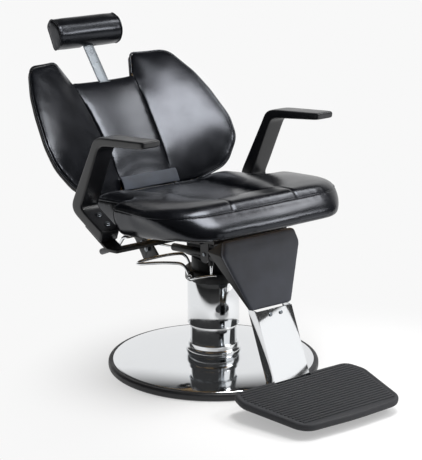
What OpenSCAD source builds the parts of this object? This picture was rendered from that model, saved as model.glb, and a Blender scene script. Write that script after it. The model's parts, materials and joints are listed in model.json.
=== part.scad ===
// Hydraulic barber chair. Millimetres, +Z up, the chair faces -Y.
// The origin is on the floor, on the axis of the column.

/* [Base] */
// Diameter over the rubber rim
base_d = 600; // [560:5:640]
// Height of the rubber rim
rim_h = 22; // [18:1:26]
// Thickness of the steel base plate
plate_t = 8; // [6:1:12]
// Outside radius of the lower column tube
tube_r = 66; // [64:1:67]

/* [Column] */
// Outside radius of the sleeve that rises with the seat
sleeve_r = 73.5; // [72:0.5:76]
// Height of the sleeve's lower edge when the chair is down
sleeve_z = 129; // [120:1:140]
// Outside radius of the pump head
head_r = 80; // [78:1:84]
// Height of the pump head's lower edge
head_z = 262; // [258:1:264]
// Height of the face that carries the seat frame
deck_z = 326; // [322:1:328]

/* [Seat] */
// Backward tilt of the seat
seat_tilt = 7.07; // [5:0.1:9]
// Height of the cushion's underside above the column axis
seat_z = 427; // [420:1:435]
// Height of the cushion's side band
band_h = 77; // [70:1:82]
// Fall of the cushion's piped seam in front of its middle, per mm
band_fall = 0.05; // [0:0.005:0.08]
// Height of the side bolsters above the sunken middle
bolster_h = 20; // [12:1:24]

/* [Backrest] */
// Angle of the backrest from upright, as it stands
back_lean = 40; // [38:1:42]
// Thickness of the padding
back_pad = 28; // [24:1:32]
// How strongly the wings curve forwards
wing_curl = 0.30; // [0.24:0.01:0.34]

/* [Armrests] */
// Width of an armrest
arm_w = 60; // [54:1:62]
// Distance between the armrests
arm_gap = 538; // [534:1:550]

/* [Legrest] */
// Width of the footplate at its widest
foot_w = 434; // [400:2:440]
// Thickness of the footplate
foot_t = 20; // [18:1:22]
// Distance between two ribs of the footplate
rib_pitch = 12; // [11:1:14]

/* [Headrest] */
// Width of the pillow
pillow_w = 222; // [210:2:240]
// Width of the headrest bar
bar_w = 33; // [28:1:36]

/* [Hidden] */
$fn = 64;

run = 0.05;                       // radial clearance of a running fit
plate_r = base_d / 2 - 22;
hub_z = 16;                       // top of the base hub
ram_r = 16;
ram_foot_z = 30;
ram_top_z = 280;
barrel_r = 36;
barrel_z = 90;
tube_top_z = 281;
neck_r = 62;
bolt_at = 36;                     // the seat frame's bolts, from the column axis
cap_z = 284;                      // top of the pump head's cap
pedal_turn = 141.9;               // direction of the pedal, seen from above
pedal_x = 66;                     // pedal axis, out from the column axis
pedal_z = 278;
hinge_y = 326;                    // axis of the backrest hinge
hinge_z = 430;
hinge_r = 8;
rail_x = 102;                     // inner face of a seat rail
rail_w = 25;
rail_h = 32;
crank_x = 92;                     // inner face of a crank plate
crank_t = 6;
gas_x = -78;
gas_front = [-80, 362];           // front anchor of the gas spring, in Y and Z
gas_rear = [205, 330];            // its rear eye
crank_bolt = [180, 320];          // bolt and nut at the foot of a crank plate
gas_len = norm(gas_rear - gas_front);
gas_slope = atan2(gas_rear[1] - gas_front[1], gas_rear[0] - gas_front[0]);
knee_y = -183;                    // axis of the legrest
knee_z = 407;
lever_y = 72;
lever_z = 404;
arm_in = arm_gap / 2;
back_y = 317;                     // a point on the front face of the backrest, above the flap
back_z = 505;
pillow_y = 624;                   // tilt axis of the pillow
pillow_z = 843;
black = [0.09, 0.09, 0.10];
vinyl = [0.13, 0.13, 0.14];
chrome = [0.80, 0.81, 0.83];
steel = [0.55, 0.56, 0.58];
rubber = [0.17, 0.17, 0.18];

// ---------- outlines and skins ----------

function unit(v) = v / norm(v);
function mirrored(pts) = concat(pts, [for (i = [len(pts) - 1:-1:0]) if (abs(pts[i][0]) > 0.01) [-pts[i][0], pts[i][1], pts[i][2]]]);
function flat(lists) = [for (l = lists) each l];
function smooth(t) = let (s = min(1, max(0, t))) s * s * (3 - 2 * s);

// One rounded corner at b, between a and c, as n + 1 points of an arc
function corner(a, b, c, r, n) =
  let (p = [b[0], b[1]], u = unit([a[0], a[1]] - p), v = unit([c[0], c[1]] - p),
       half = acos(max(-1, min(1, u * v))) / 2,
       m = unit(u + v), o = p + m * r / sin(half),
       from = p + u * r / tan(half) - o, to = p + v * r / tan(half) - o,
       a0 = atan2(from[1], from[0]), turn = atan2(from[0] * to[1] - from[1] * to[0], from * to))
  [for (i = [0:n]) o + r * [cos(a0 + turn * i / n), sin(a0 + turn * i / n)]];

// A closed outline of [x, y, radius] corners, with every corner rounded
function rounded(pts, n = 5) =
  let (k = len(pts))
  flat([for (i = [0:k - 1]) corner(pts[(i + k - 1) % k], pts[i], pts[(i + 1) % k], pts[i][2], n)]);

// A closed solid over a stack of rings that have the same number of points
module skin(rings) {
  n = len(rings[0]);
  m = len(rings);
  middle = [for (r = [rings[0], rings[m - 1]])
    [for (k = [0:2]) ([for (j = [0:n - 1]) 1] * [for (p = r) p[k]]) / n]];
  points = concat(flat(rings), middle);
  sides = [for (i = [0:m - 2], j = [0:n - 1]) let (k = (j + 1) % n)
    each [[i * n + j, (i + 1) * n + k, i * n + k], [i * n + j, (i + 1) * n + j, (i + 1) * n + k]]];
  caps = [for (j = [0:n - 1]) let (k = (j + 1) % n)
    each [[m * n, j, k], [m * n + 1, (m - 1) * n + k, (m - 1) * n + j]]];
  polyhedron(points, concat(sides, caps), convexity = 8);
}

// A tube of radius r along a list of points, with sides sides
module wire(path, r, sides = 8) {
  n = len(path);
  skin([for (i = [0:n - 1])
    let (d = unit(path[min(i + 1, n - 1)] - path[max(i - 1, 0)]),
         a = unit(cross(d, abs(d[2]) > 0.9 ? [1, 0, 0] : [0, 0, 1])), b = cross(d, a))
    [for (j = [0:sides - 1]) path[i] - r * (cos(360 * j / sides) * a + sin(360 * j / sides) * b)]]);
}

// A plate of thickness t that starts at x, with its outline given in Y and Z
module side_plate(x, t, pts) {
  translate([x, 0, 0]) rotate([90, 0, 90]) linear_extrude(t) polygon(pts);
}

// The same on both sides of the chair
module both() {
  children();
  mirror([1, 0, 0]) children();
}

module ring(r_out, r_in, z0, z1) {
  translate([0, 0, z0]) difference() {
    cylinder(r = r_out, h = z1 - z0);
    translate([0, 0, -1]) cylinder(r = r_in, h = z1 - z0 + 2);
  }
}

// A shaft along X
module shaft(x0, x1, y, z, r) {
  translate([x0, y, z]) rotate([0, 90, 0]) cylinder(r = r, h = x1 - x0);
}

module seat_space() {
  translate([0, 0, seat_z]) rotate([-seat_tilt, 0, 0]) children();
}

// X across, Y up along the backrest, Z out of its front
module back_space() {
  translate([0, back_y, back_z]) rotate([90 - back_lean, 0, 0]) children();
}

module pedal_space() {
  rotate([0, 0, pedal_turn]) children();
}

// ---------- base ----------

module base_plate() {
  color(steel) difference() {
    union() {
      cylinder(r = plate_r, h = plate_t, $fn = 128);
      cylinder(r = 86, h = hub_z);
    }
    translate([0, 0, 6]) cylinder(r = 12 + run, h = 20);
    for (a = [45:90:315]) rotate([0, 0, a]) translate([56, 0, 1]) {
      cylinder(r = 5.2, h = 20);
      translate([0, 0, -2]) cylinder(r = 9.2, h = 7);
    }
  }
}

module rim_ring() {
  r = base_d / 2;
  color(rubber) rotate_extrude($fn = 128) polygon(concat(
    [[plate_r, 0], [r - 6, 0]],
    [for (i = [0:6]) [r - 6 + 6 * sin(i * 15), 8 - 8 * cos(i * 15)]],
    [for (i = [0:6]) [r - 8 + 8 * cos(i * 15), rim_h - 8 + 8 * sin(i * 15)]],
    [[plate_r + 8, rim_h], [plate_r + 8, rim_h - 3], [plate_r, rim_h - 3]]));
}

// Height of the domed cover's outside at radius r
function dome(r) = rim_h + 1.5 + 12 * (1 - pow(r / 285, 2)) + 2 * exp((76 - r) / 10);

module base_cover() {
  wall = 1.6;
  edge = plate_r + 6;
  radii = [for (i = [0:24]) edge - (edge - 76) * i / 24];
  color(chrome) rotate_extrude($fn = 128) polygon(concat(
    [[edge, rim_h - 3], [edge + 1.4, rim_h - 1]],
    [for (r = radii) [r, dome(r)]],
    [for (i = [24:-1:0]) [radii[i], dome(radii[i]) - wall]]));
}

module collar() {
  color(chrome) rotate_extrude() polygon(concat(
    [[tube_r + run, 76], [tube_r + 4, 76], [tube_r + 6, 74], [tube_r + 6, 62]],
    [for (i = [0:8]) [tube_r + 7 + 6 * sin(i * 22.5), 50 + 11 * cos(i * 22.5)]],
    [[tube_r + 8, 38.5], [tube_r + 10, dome(76)], [tube_r + run, dome(76)]]));
}

module guide_tube() {
  color(chrome) {
    ring(tube_r, tube_r - 3, hub_z, tube_top_z);
    difference() {
      ring(tube_r - 3, 44, hub_z, hub_z + 8);
      for (a = [45:90:315]) rotate([0, 0, a]) translate([56, 0, 0]) cylinder(r = 4.9, h = 60);
    }
  }
}

module guide_bush() {
  color("ivory") ring(sleeve_r - 3.5 - run, tube_r, 255, 279);
}

module base_screws() {
  color(steel) for (a = [45:90:315]) rotate([0, 0, a]) translate([56, 0, 1]) difference() {
    union() {
      cylinder(r = 9, h = 4.5);
      cylinder(r = 4.9, h = 22);
    }
    translate([0, 0, -1]) cylinder(r = 4, h = 4, $fn = 6);
  }
}

module bearing_race() {
  color(steel) ring(30, 13, hub_z, 19);
}

module bearing_balls() {
  color(chrome) for (a = [0:30:330]) rotate([0, 0, a]) translate([22.5, 0, 23.05]) sphere(r = 4, $fn = 24);
}

module ram() {
  color(chrome) {
    translate([0, 0, 7]) cylinder(r = 12, h = 24);
    translate([0, 0, 27.1]) cylinder(r = 30, h = 9);
    translate([0, 0, 36]) cylinder(r = ram_r, h = ram_top_z - 44);
    translate([0, 0, ram_top_z - 8]) cylinder(r = 9, h = 8);
  }
}

module ram_piston() {
  color(steel) difference() {
    translate([0, 0, ram_top_z - 18]) cylinder(r = 30 - run, h = 16);
    translate([0, 0, ram_top_z - 19]) cylinder(r = ram_r, h = 11);
    translate([0, 0, ram_top_z - 9]) cylinder(r = 9, h = 20);
  }
}

// ---------- pump ----------

module pump_barrel() {
  color(steel) {
    ring(barrel_r, 30, barrel_z, 300);
    ring(30, ram_r + run, barrel_z, barrel_z + 18);
  }
}

module column_sleeve() {
  color(chrome) ring(sleeve_r, sleeve_r - 3.5, sleeve_z, head_z + 4);
}

module pump_head() {
  color(black) difference() {
    union() {
      translate([0, 0, head_z]) cylinder(r = head_r, h = cap_z - head_z + 6);
      translate([0, 0, cap_z]) cylinder(r = neck_r, h = deck_z - cap_z);
    }
    translate([0, 0, head_z - 1]) cylinder(r = sleeve_r - 3.5, h = cap_z - head_z + 1);
    translate([0, 0, head_z - 1]) cylinder(r = barrel_r, h = 301 - head_z);
    translate([0, 0, head_z - 1]) cylinder(r = sleeve_r + run, h = 5);
    pedal_space() for (s = [-1, 1]) {
      translate([pedal_x, s * 30, pedal_z]) rotate([-90 * s, 0, 0]) cylinder(r = 5, h = 60);
      translate([pedal_x - 8.7, s > 0 ? 46.3 : -86.3, head_z - 1]) cube([40, 40, 40]);
      if (s > 0) translate([pedal_x - 12, 54, head_z - 1]) cube([20, 20, 40]);
    }
    pedal_space() translate([20, head_r - 8, head_z - 1]) cube([20, 20, 15]);
    for (x = [-bolt_at, bolt_at], y = [-bolt_at, bolt_at]) translate([x, y, deck_z - 20]) cylinder(r = 4, h = 30);
  }
}

module plunger_guide() {
  color(black) pedal_space() difference() {
    union() {
      translate([5, 88, 321]) cylinder(r = 7.5, h = 17);
      translate([-2.5, 50, 321]) cube([15, 38, 4.9]);
      translate([3, 50, 308]) cube([4, 26, 14]);
    }
    cylinder(r = neck_r, h = 400);
    translate([5, 88, 290]) cylinder(r = 4 + run, h = 60);
  }
}

module plunger() {
  color(chrome) pedal_space() translate([5, 88, 295.5]) cylinder(r = 4, h = 50);
}

module pedal_pins() {
  color(chrome) pedal_space() for (s = [-1, 1]) translate([pedal_x, s * 35, pedal_z]) rotate([-90 * s, 0, 0]) {
    cylinder(r = 5, h = s > 0 ? 23 : 23.5);
    if (s < 0) translate([0, 0, 23.4]) cylinder(r = 7, h = 2.5);
  }
}

// Half of the pedal's wire, from its hub to the toe of the loop
function pedal_half(s) = [
  [pedal_x + 3, s * 52, pedal_z + 6], [pedal_x + 9, s * 52, pedal_z + 20], [pedal_x + 17, s * 51, pedal_z + 31],
  [pedal_x + 28, s * 49, pedal_z + 36], [pedal_x + 50, s * 43, pedal_z + 36], [pedal_x + 76, s * 35, pedal_z + 34],
  [pedal_x + 104, s * 26, pedal_z + 30], [pedal_x + 128, s * 18, pedal_z + 26], [pedal_x + 142, s * 11, pedal_z + 23]];

module pedal() {
  half = pedal_half(1);
  color(chrome) pedal_space() difference() {
    union() {
      wire(concat(half, [[pedal_x + 148, 0, pedal_z + 21]], [for (i = [len(half) - 1:-1:0]) [half[i][0], -half[i][1], half[i][2]]]), 4.5, 10);
      wire([[pedal_x - 3, 54, pedal_z - 6], [pedal_x - 8, 66, pedal_z - 4], [pedal_x - 20, 79, pedal_z + 3],
            [pedal_x - 38, 86, pedal_z + 9], [pedal_x - 61, 88, pedal_z + 13], [pedal_x - 75, 88, pedal_z + 13.3]], 4);
      for (s = [-1, 1]) translate([pedal_x, s * 46.5, pedal_z]) rotate([-90 * s, 0, 0]) cylinder(r = 8, h = 11.5);
    }
    for (s = [-1, 1]) translate([pedal_x, s * 40, pedal_z]) rotate([-90 * s, 0, 0]) cylinder(r = 5 + run, h = 18.3);
  }
}

// ---------- seat ----------

// Half outlines of the cushion, from the middle of the front to the middle of the back: [x, y, radius]
seam_half = [[0, -248, 900], [330, -239, 140], [315, -44, 320], [307, 57, 32], [237, 54, 22], [233, 280, 66], [0, 283, 900]];
under_half = [[0, -284, 900], [236, -275, 82], [280, -110, 320], [290, 42, 28], [228, 50, 22], [222, 276, 58],
  [0, 279, 900]];
seat_mid = [0, -20];
seam_arcs = rounded(mirrored(seam_half), 3);

// A ring with points added wherever the seam runs straight for long
function filled(ring, gap = 80) = [for (i = [0:len(ring) - 1])
  let (j = (i + 1) % len(ring), n = ceil(norm(seam_arcs[j] - seam_arcs[i]) / gap))
  for (k = [0:n - 1]) ring[i] + (ring[j] - ring[i]) * k / n];

seam_ring = filled(seam_arcs);
under_ring = filled(rounded(mirrored(under_half), 3));

// Height of the crowned top above the side seam, and how far its middle is sunk
function crown(p) = 19 + 4 * smooth((-p[1] - 60) / 120) * (1 - pow(p[0] / 330, 2)) - 17 * smooth((p[1] - 190) / 90);
function sunk(p) = bolster_h * (1 - smooth((-p[1] - 55) / 100)) * (1 - 0.6 * smooth((p[1] - 205) / 90));

// A ring of the top, a given distance inside the seam, at a share of its height
function inset_ring(d) = [for (p = seam_ring) let (n = norm(p - seat_mid)) seat_mid + (p - seat_mid) * (n - d) / n];

// The ring along the foot of the bolsters, or a distance outside it
function wall_ring(out) = [for (p = seam_ring)
  let (d = p - seat_mid, side = 1 / max(0.001, (abs(d[0]) - 0.2 * d[1])) * (124 + out),
       end = (d[1] < 0 ? 80 + out : 255 + out / 2) / max(0.001, abs(d[1])),
       t = pow(pow(side, -5) + pow(end, -5), -0.2))
  seat_mid + d * t];
function raise(ring, share, down) = [for (p = ring)
  [p[0], p[1], band_h + band_fall * min(0, p[1]) + share * crown(p) - down * sunk(p)]];
function side_ring(t, out, h) = [for (i = [0:len(seam_ring) - 1])
  let (q = under_ring[i] * (1 - t) + seam_ring[i] * t, d = norm(q - seat_mid), p = seat_mid + (q - seat_mid) * (d + out) / d)
  [p[0], p[1], h]];

module seat_cushion() {
  color(vinyl) seat_space() skin([
    side_ring(0, -30, 12), side_ring(0, -30, 0), side_ring(0, -2, 0), side_ring(0.25, 2, 8), side_ring(0.75, 4, 32),
    side_ring(1, 2, 57), raise(seam_ring, 0, 0),
    raise(inset_ring(5), 0.38, 0), raise(inset_ring(14), 0.7, 0), raise(inset_ring(28), 0.94, 0),
    raise((inset_ring(28) + wall_ring(30)) / 2, 1, 0), raise(wall_ring(30), 1, 0), raise(wall_ring(14), 1, 0.55),
    raise(wall_ring(0), 1, 0.95), raise(0.6 * wall_ring(0) + [for (p = seam_ring) 0.4 * seat_mid], 1, 1.05),
    raise(0.25 * wall_ring(0) + [for (p = seam_ring) 0.75 * seat_mid], 1, 1.1)]);
}

module seat_board() {
  outline = [for (p = under_ring) let (d = norm(p - seat_mid)) seat_mid + (p - seat_mid) * (d - 31) / d];
  color("burlywood") seat_space() linear_extrude(12) polygon(outline);
}

module seat_frame() {
  color(black) difference() {
    union() {
      both() {
        seat_space() translate([rail_x, -165, -rail_h]) difference() {
          cube([rail_w, 435, rail_h]);
          translate([3, 3, 3]) cube([rail_w - 6, 440, rail_h - 6]);
        }
        // ear of the backrest hinge, behind the cushion
        side_plate(rail_x, 8, rounded([[196, 372, 4], [196, 396, 4], [286, 386, 8], [308, 402, 6],
                                       [311.5, 444.5, 14.4], [340.5, 444.5, 14.4], [340.5, 408, 14], [290, 356, 10]]));
        // ear of the legrest
        side_plate(rail_x, 8, rounded([[-166, 424, 1], [-185, 417.4, 7], [-193.4, 409, 7], [-193.4, 396.6, 9], [-170, 396.6, 9],
                                       [-130, 410, 3], [-130, 430, 3], [-160, 430, 3]]));
        // side of the saddle
        side_plate(46, 6, [[-56, deck_z + 6], [-56, 398], [56, 384], [56, deck_z + 6]]);
      }
      seat_space() translate([-rail_x - 1, -165, -rail_h]) cube([2 * rail_x + 2, 25, 25]);
      seat_space() translate([-rail_x - rail_w, -100, -rail_h - 6]) cube([2 * (rail_x + rail_w), 108, 6]);
      translate([-56, -56, deck_z]) cube([112, 112, 8]);
      side_plate(gas_x - 15.5, 4, rounded([[-98, 402, 2], [-96, 338, 12], [-64, 338, 12], [-62, 398, 2]]));
      side_plate(gas_x + 11.5, 3, rounded([[-98, 402, 2], [-96, 338, 12], [-64, 338, 12], [-62, 398, 2]]));
      // guide of the release rod
      translate([-139.5, 148, 373]) cube([14, 14, 30]);
    }
    seat_space() translate([-arm_in, 10, -rail_h - 8]) cube([2 * arm_in, 50, 8]);
    both() {
      shaft(rail_x - 5, rail_x + 20, hinge_y, hinge_z, hinge_r);
      shaft(rail_x - 5, rail_x + 15, knee_y, knee_z, 6);
    }
    for (x = [-bolt_at, bolt_at], y = [-bolt_at, bolt_at]) translate([x, y, deck_z - 1]) cylinder(r = 4.5, h = 12);
    shaft(gas_x - 20, gas_x + 20, gas_front[0], gas_front[1], 5);
    shaft(-rail_x - rail_w - 3, -rail_x + 3, lever_y, lever_z, 5 + run);
    translate([-131.9, 140, 380]) rotate([-90, 0, 0]) cylinder(r = 2.5 + run, h = 40);
  }
}

module deck_bolts() {
  color(steel) for (x = [-bolt_at, bolt_at], y = [-bolt_at, bolt_at]) translate([x, y, deck_z - 19]) {
    cylinder(r = 4, h = 30);
    translate([0, 0, 27]) cylinder(r = 7.5, h = 6, $fn = 6);
  }
}

module arm_carrier() {
  color(black) {
    seat_space() translate([-arm_in - arm_w + 4, 10, -rail_h - 8]) cube([2 * (arm_in + arm_w - 4), 50, 8]);
    // tongues under the armrests
    both() side_plate(arm_in + 6, arm_w - 12, [[34, 384], [34, 391], [56, 388.5], [79.5, 397.2], [84, arm_foot(84)],
                                               [160, arm_foot(160)], [160, arm_foot(160) - 7], [84, arm_foot(84) - 7], [56, 380]]);
  }
}

// Height of the armrest's underside where it lies on the carrier
function arm_foot(y) = 446 - (188 - y) * 48 / 108;

// Stations of an armrest, as its outer and inner points in Y and Z
function arm_stations() = concat(
  [for (t = [0, 0.2, 0.45, 0.7, 0.9]) [[-120 + 172 * t, 717 - 19 * t], [-119 + 160 * t, 696 - 22 * t]]],
  [[[68, 696], [50, 673]], [[88, 692], [66, 670]], [[104, 684], [79, 664]], [[114, 673], [88, 656]], [[122, 656], [94, 645]]],
  [for (t = [0.15, 0.5, 0.85]) [[122 + 94 * t, 656 - 166 * t], [94 + 72 * t, 645 - 150 * t]]],
  [[[218, 487], [171, 489]], [[219, 474], [171, 480]], [[213, 461], [166, 474]], [[202, 453], [158, 469]], [[188, 446], [146, 463.5]]],
  [for (t = [0.3, 0.65, 0.92, 1]) [[188 - 108 * t, 446 - 48 * t], [146 - 77 * t, 463.5 - 31 * t]]]);

// One cross section of an armrest: a rounded bar between its outer and inner points
function arm_ring(pair, shrink) =
  let (o = [0, pair[0][0], pair[0][1]], i = [0, pair[1][0], pair[1][1]], m = (o + i) / 2, d = unit(o - i),
       hx = arm_w / 2 - shrink, hd = norm(o - i) / 2 - shrink, r = 6)
  [for (k = [0:3], j = [0:3]) let (a = 90 * k + 30 * j, sx = (k == 0 || k == 3) ? 1 : -1, sd = k < 2 ? 1 : -1)
    m + [sx * (hx - r) + r * cos(a), 0, 0] + (sd * (hd - r) + r * sin(a)) * d];

module armrest() {
  st = arm_stations();
  n = len(st);
  tip = [for (p = st[0]) p + [-5, 0.6]];
  translate([arm_in + arm_w / 2, 0, 0])
    skin(concat([arm_ring(tip, 3)], [for (p = st) arm_ring(p, 0)]));
}

module armrest_left() {
  color(black) armrest();
}

module armrest_right() {
  color(black) mirror([1, 0, 0]) armrest();
}

module arm_bolts() {
  color(steel) both() for (y = [96, 138]) {
    // heads lie on the upper face of the armrest's lower bar
    translate([arm_in + 24, y, 432.5 + (y - 69) * 31 / 77]) rotate([atan(31 / 77), 0, 0]) {
      translate([0, 0, 1.5]) cylinder(r = 7, h = 4);
      cylinder(r = 9, h = 1.5);
    }
  }
}

module hinge_shaft() {
  color(steel) shaft(-rail_x - 12, rail_x + 12, hinge_y, hinge_z, hinge_r);
}

module shaft_nuts() {
  color(chrome) both() difference() {
    translate([rail_x + 8, hinge_y, hinge_z]) rotate([0, 90, 0]) cylinder(r = 14, h = 7, $fn = 6);
    shaft(rail_x, rail_x + 30, hinge_y, hinge_z, hinge_r);
  }
}

module legrest_pins() {
  color(steel) both() {
    shaft(84, rail_x + 8, knee_y, knee_z, 6);
    shaft(rail_x + 8, rail_x + 12, knee_y, knee_z, 9);
  }
}

module gas_pin() {
  color(steel) shaft(gas_x - 18, gas_x + 15.5, gas_front[0], gas_front[1], 5);
}

// ---------- backrest ----------

function curl(u) = 200 * wing_curl * pow(max(0, abs(u) - 95) / 200, 1.85);
function seam_u(v) = 92 + 18 * pow(max(0, v) / 325, 2);

wing_corners = [[92, -40, 10], [175, -46, 120], [268, -27, 70], [319, 40, 80], [325, 110, 160], [307, 215, 260],
                [288, 285, 200], [244, 384, 55], [136, 404, 14], [110, 331, 10]];
wing_mid = [200, 165];
pane_mid = [0, 150];

// The wing's outline: its rounded outer edge, then the seam back down
wing_ring = concat(
  [for (p = rounded(concat(wing_corners, [[100, 150, 5]]), 3)) if (p[1] < 0 && p[0] > 95 || p[0] > 118 || p[1] > 326) p],
  [for (v = [300, 240, 180, 120, 60, 0]) [seam_u(v), v]]);
pane_ring = concat(
  [for (v = [-36, 0, 60, 120, 180, 240, 300]) [seam_u(v), v]],
  [for (u = [109, 90, 60, 20, -20, -60, -90, -109]) [u, 330 - 4 * (1 - pow(u / 110, 2))]],
  [for (v = [300, 240, 180, 120, 60, 0, -36]) [-seam_u(v), v]],
  [for (u = [-88, -50, 0, 50, 88]) [u, -42]]);

// An edge point is on a seam where it follows the seam's curve
function on_seam(p) = abs(abs(p[0]) - seam_u(p[1])) < 3 && p[1] > -38 && p[1] < 329;

// Front surface: how far it has dropped at a distance d inside the edge point p
function drop(p, d) = let (seam = on_seam(p), r = seam ? 18 : 62, t = 1 - min(1, d / r))
  (seam ? 9 : back_pad - 3) * (1 - sqrt(1 - t * t));
function ray(p, mid, d) = let (n = norm(p - mid)) mid + (p - mid) * max(0, n - d) / n;
function pad_ring(outline, mid, d) = [for (p = outline) let (q = ray(p, mid, d)) [q[0], q[1], curl(q[0]) - drop(p, d)]];
function slab_ring(outline, mid, part, w) = [for (p = outline) let (q = mid + (p - mid) * part) [q[0], q[1], curl(q[0]) + w]];

// Padding between the back plane, at -back_pad, and the crowned front
module pad(outline, mid) {
  skin(concat(
    [for (s = [0.4, 0.75, 1]) slab_ring(outline, mid, s, -back_pad)],
    [for (d = [0, 4, 11, 22, 40, 62]) pad_ring(outline, mid, d)],
    [for (s = [0.42, 0.2]) slab_ring(outline, mid, s, 0)]));
}

// The pane reaches a little into the wings, so that the three make one piece
pane_wide = [for (p = pane_ring) on_seam(p) ? [p[0] * 1.008, p[1]] : p];

// The edge of a sheet: on the seams, or a share of the way out to the free edge
function rim(outline, mid, share, w) =
  let (a = slab_ring(outline, mid, 0.75, w), b = slab_ring(outline, mid, 1, w))
  [for (i = [0:len(outline) - 1]) let (k = on_seam(outline[i]) ? 1 : share) a[i] * (1 - k) + b[i] * k];

// A curved sheet of even thickness
module sheet(outline, mid, w0, w1, share) {
  skin([slab_ring(outline, mid, 0.4, w0), slab_ring(outline, mid, 0.75, w0), rim(outline, mid, share, w0),
        rim(outline, mid, share, w1), slab_ring(outline, mid, 0.75, w1), slab_ring(outline, mid, 0.4, w1)]);
}

// The three panels of the backrest in one piece
module three_panels(w0, w1, share) {
  sheet(pane_wide, pane_mid, w0, w1, share);
  both() sheet(wing_ring, wing_mid, w0, w1, share);
}

module back_cushion() {
  color(vinyl) back_space() difference() {
    union() {
      pad(pane_wide, pane_mid);
      both() pad(wing_ring, wing_mid);
    }
    translate([-bar_w / 2 - 3.5, 122, -back_pad - 5]) cube([bar_w + 7, 260, 20]);
  }
}

module back_board() {
  color("burlywood") back_space() three_panels(-back_pad - 6.9, -back_pad - 1.1, 0.9);
}

module back_shell() {
  color(black) back_space() difference() {
    three_panels(-back_pad - 15, -back_pad - 8, 1);
    both() for (v = [34, 120]) translate([crank_x - 11, v, -back_pad - 20]) cylinder(r = 4, h = 20);
  }
}

// A point of backrest space in Y and Z: up along the backrest, and out of its front
function on_lean(v, w) = [back_y + v * sin(back_lean) - w * cos(back_lean), back_z + v * cos(back_lean) + w * sin(back_lean)];
function lean_corner(v, w, r) = [on_lean(v, w)[0], on_lean(v, w)[1], r];

module back_frame() {
  behind = -back_pad - 15;
  color(black) both() difference() {
    union() {
      // cross bars behind the shell
      back_space() for (v = [24, 110]) translate([-1, v, behind - 5]) cube([crank_x + 2, 20, 5]);
      // crank under the seat, hub, and strap up the back of the shell
      side_plate(crank_x, crank_t, rounded([
        [126, 304, 6], [200, 279, 12], [243, 332, 30], [330, 394, 30], lean_corner(-20, behind - 33, 24),
        lean_corner(40, behind - 25, 60), lean_corner(150, behind - 13, 6), lean_corner(150, behind, 2), lean_corner(-36, behind, 3),
        [311.5, 444.5, 12], [303, 404, 20], [287, 370, 30], [160, 334, 40]]));
    }
    shaft(crank_x - 5, crank_x + 15, hinge_y, hinge_z, hinge_r + run);
    back_space() for (v = [34, 120]) translate([crank_x - 11, v, behind - 15]) cylinder(r = 4.2, h = 20);
    shaft(crank_x - 5, crank_x + 15, gas_rear[0], gas_rear[1], 5);
    shaft(crank_x - 5, crank_x + 15, crank_bolt[0], crank_bolt[1], 5);
  }
}

module back_screws() {
  color(steel) {
    both() back_space() for (v = [34, 120]) translate([crank_x - 11, v, -back_pad - 24]) {
      cylinder(r = 7, h = 4);
      cylinder(r = 4, h = 16);
    }
    // stud of the gas spring
    shaft(-crank_x - crank_t - 4, gas_x - 6.5, gas_rear[0], gas_rear[1], 5);
    shaft(-crank_x - crank_t - 4, -crank_x - crank_t, gas_rear[0], gas_rear[1], 8);
    both() {
      shaft(crank_x - 1, crank_x + crank_t + 9, crank_bolt[0], crank_bolt[1], 5);
      shaft(crank_x - 3.5, crank_x, crank_bolt[0], crank_bolt[1], 8);
      translate([crank_x + crank_t, crank_bolt[0], crank_bolt[1]]) rotate([0, 90, 0]) cylinder(r = 9.5, h = 7, $fn = 6);
    }
  }
}

module headrest_guide() {
  color(steel) back_space() difference() {
    translate([-bar_w / 2 - 3, 150, -28]) cube([bar_w + 6, 168, 14]);
    translate([-bar_w / 2 - 0.3, 140, -24.3]) cube([bar_w + 0.6, 190, 7.6]);
  }
}

// The flap hangs from the foot of the backrest onto the seat
module flap() {
  color(vinyl) side_plate(-99, 198, [[311.4, 501.9], [308.9, 500.9], [295.4, 480.8], [290.2, 468.8], [292.7, 467.6], [298, 479.2]]);
}

// ---------- headrest ----------

module headrest_bar() {
  color(chrome) {
    difference() {
      union() {
        shaft(-bar_w / 2, bar_w / 2, pillow_y, pillow_z, 7.5);
        back_space() translate([-bar_w / 2 + 0.5, 236, -24]) cube([bar_w - 1, 216.1, 7]);
      }
      shaft(-40, 40, pillow_y, pillow_z, 4 + run);
    }
  }
}

module headrest_pin() {
  color(steel) shaft(-24, 24, pillow_y, pillow_z, 4);
}

// The pillow's section in Y and Z, from its lower back corner round the front
pillow_foot = [633, 826];
pillow_back = [674, 898];
pillow_section = rounded([[633, 826, 5], [606, 840, 26], [590, 872, 30], [610, 910, 32], [652, 924, 16], [674, 898, 12]], 3);
pillow_core = [636, 874];

// A point on the pillow's back: along it from the foot, and behind it
function on_back(along, out) =
  let (d = unit(pillow_back - pillow_foot)) pillow_foot + along * d + out * [d[1], -d[0]];

module pillow_bracket() {
  color(steel) difference() {
    union() {
      side_plate(-80, 160, [on_back(22, 0), on_back(22, 5), on_back(52, 5), on_back(52, 0)]);
      both() side_plate(18.5, 4, rounded([[pillow_y - 9, pillow_z - 9, 8], [pillow_y - 9, pillow_z + 9, 8], [on_back(46, -2)[0], on_back(46, -2)[1], 2],
                                          [on_back(46, 2)[0], on_back(46, 2)[1], 2], [on_back(24, 2)[0], on_back(24, 2)[1], 2], [pillow_y + 9, pillow_z - 9, 8]]));
    }
    shaft(-40, 40, pillow_y, pillow_z, 4);
  }
}

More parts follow.
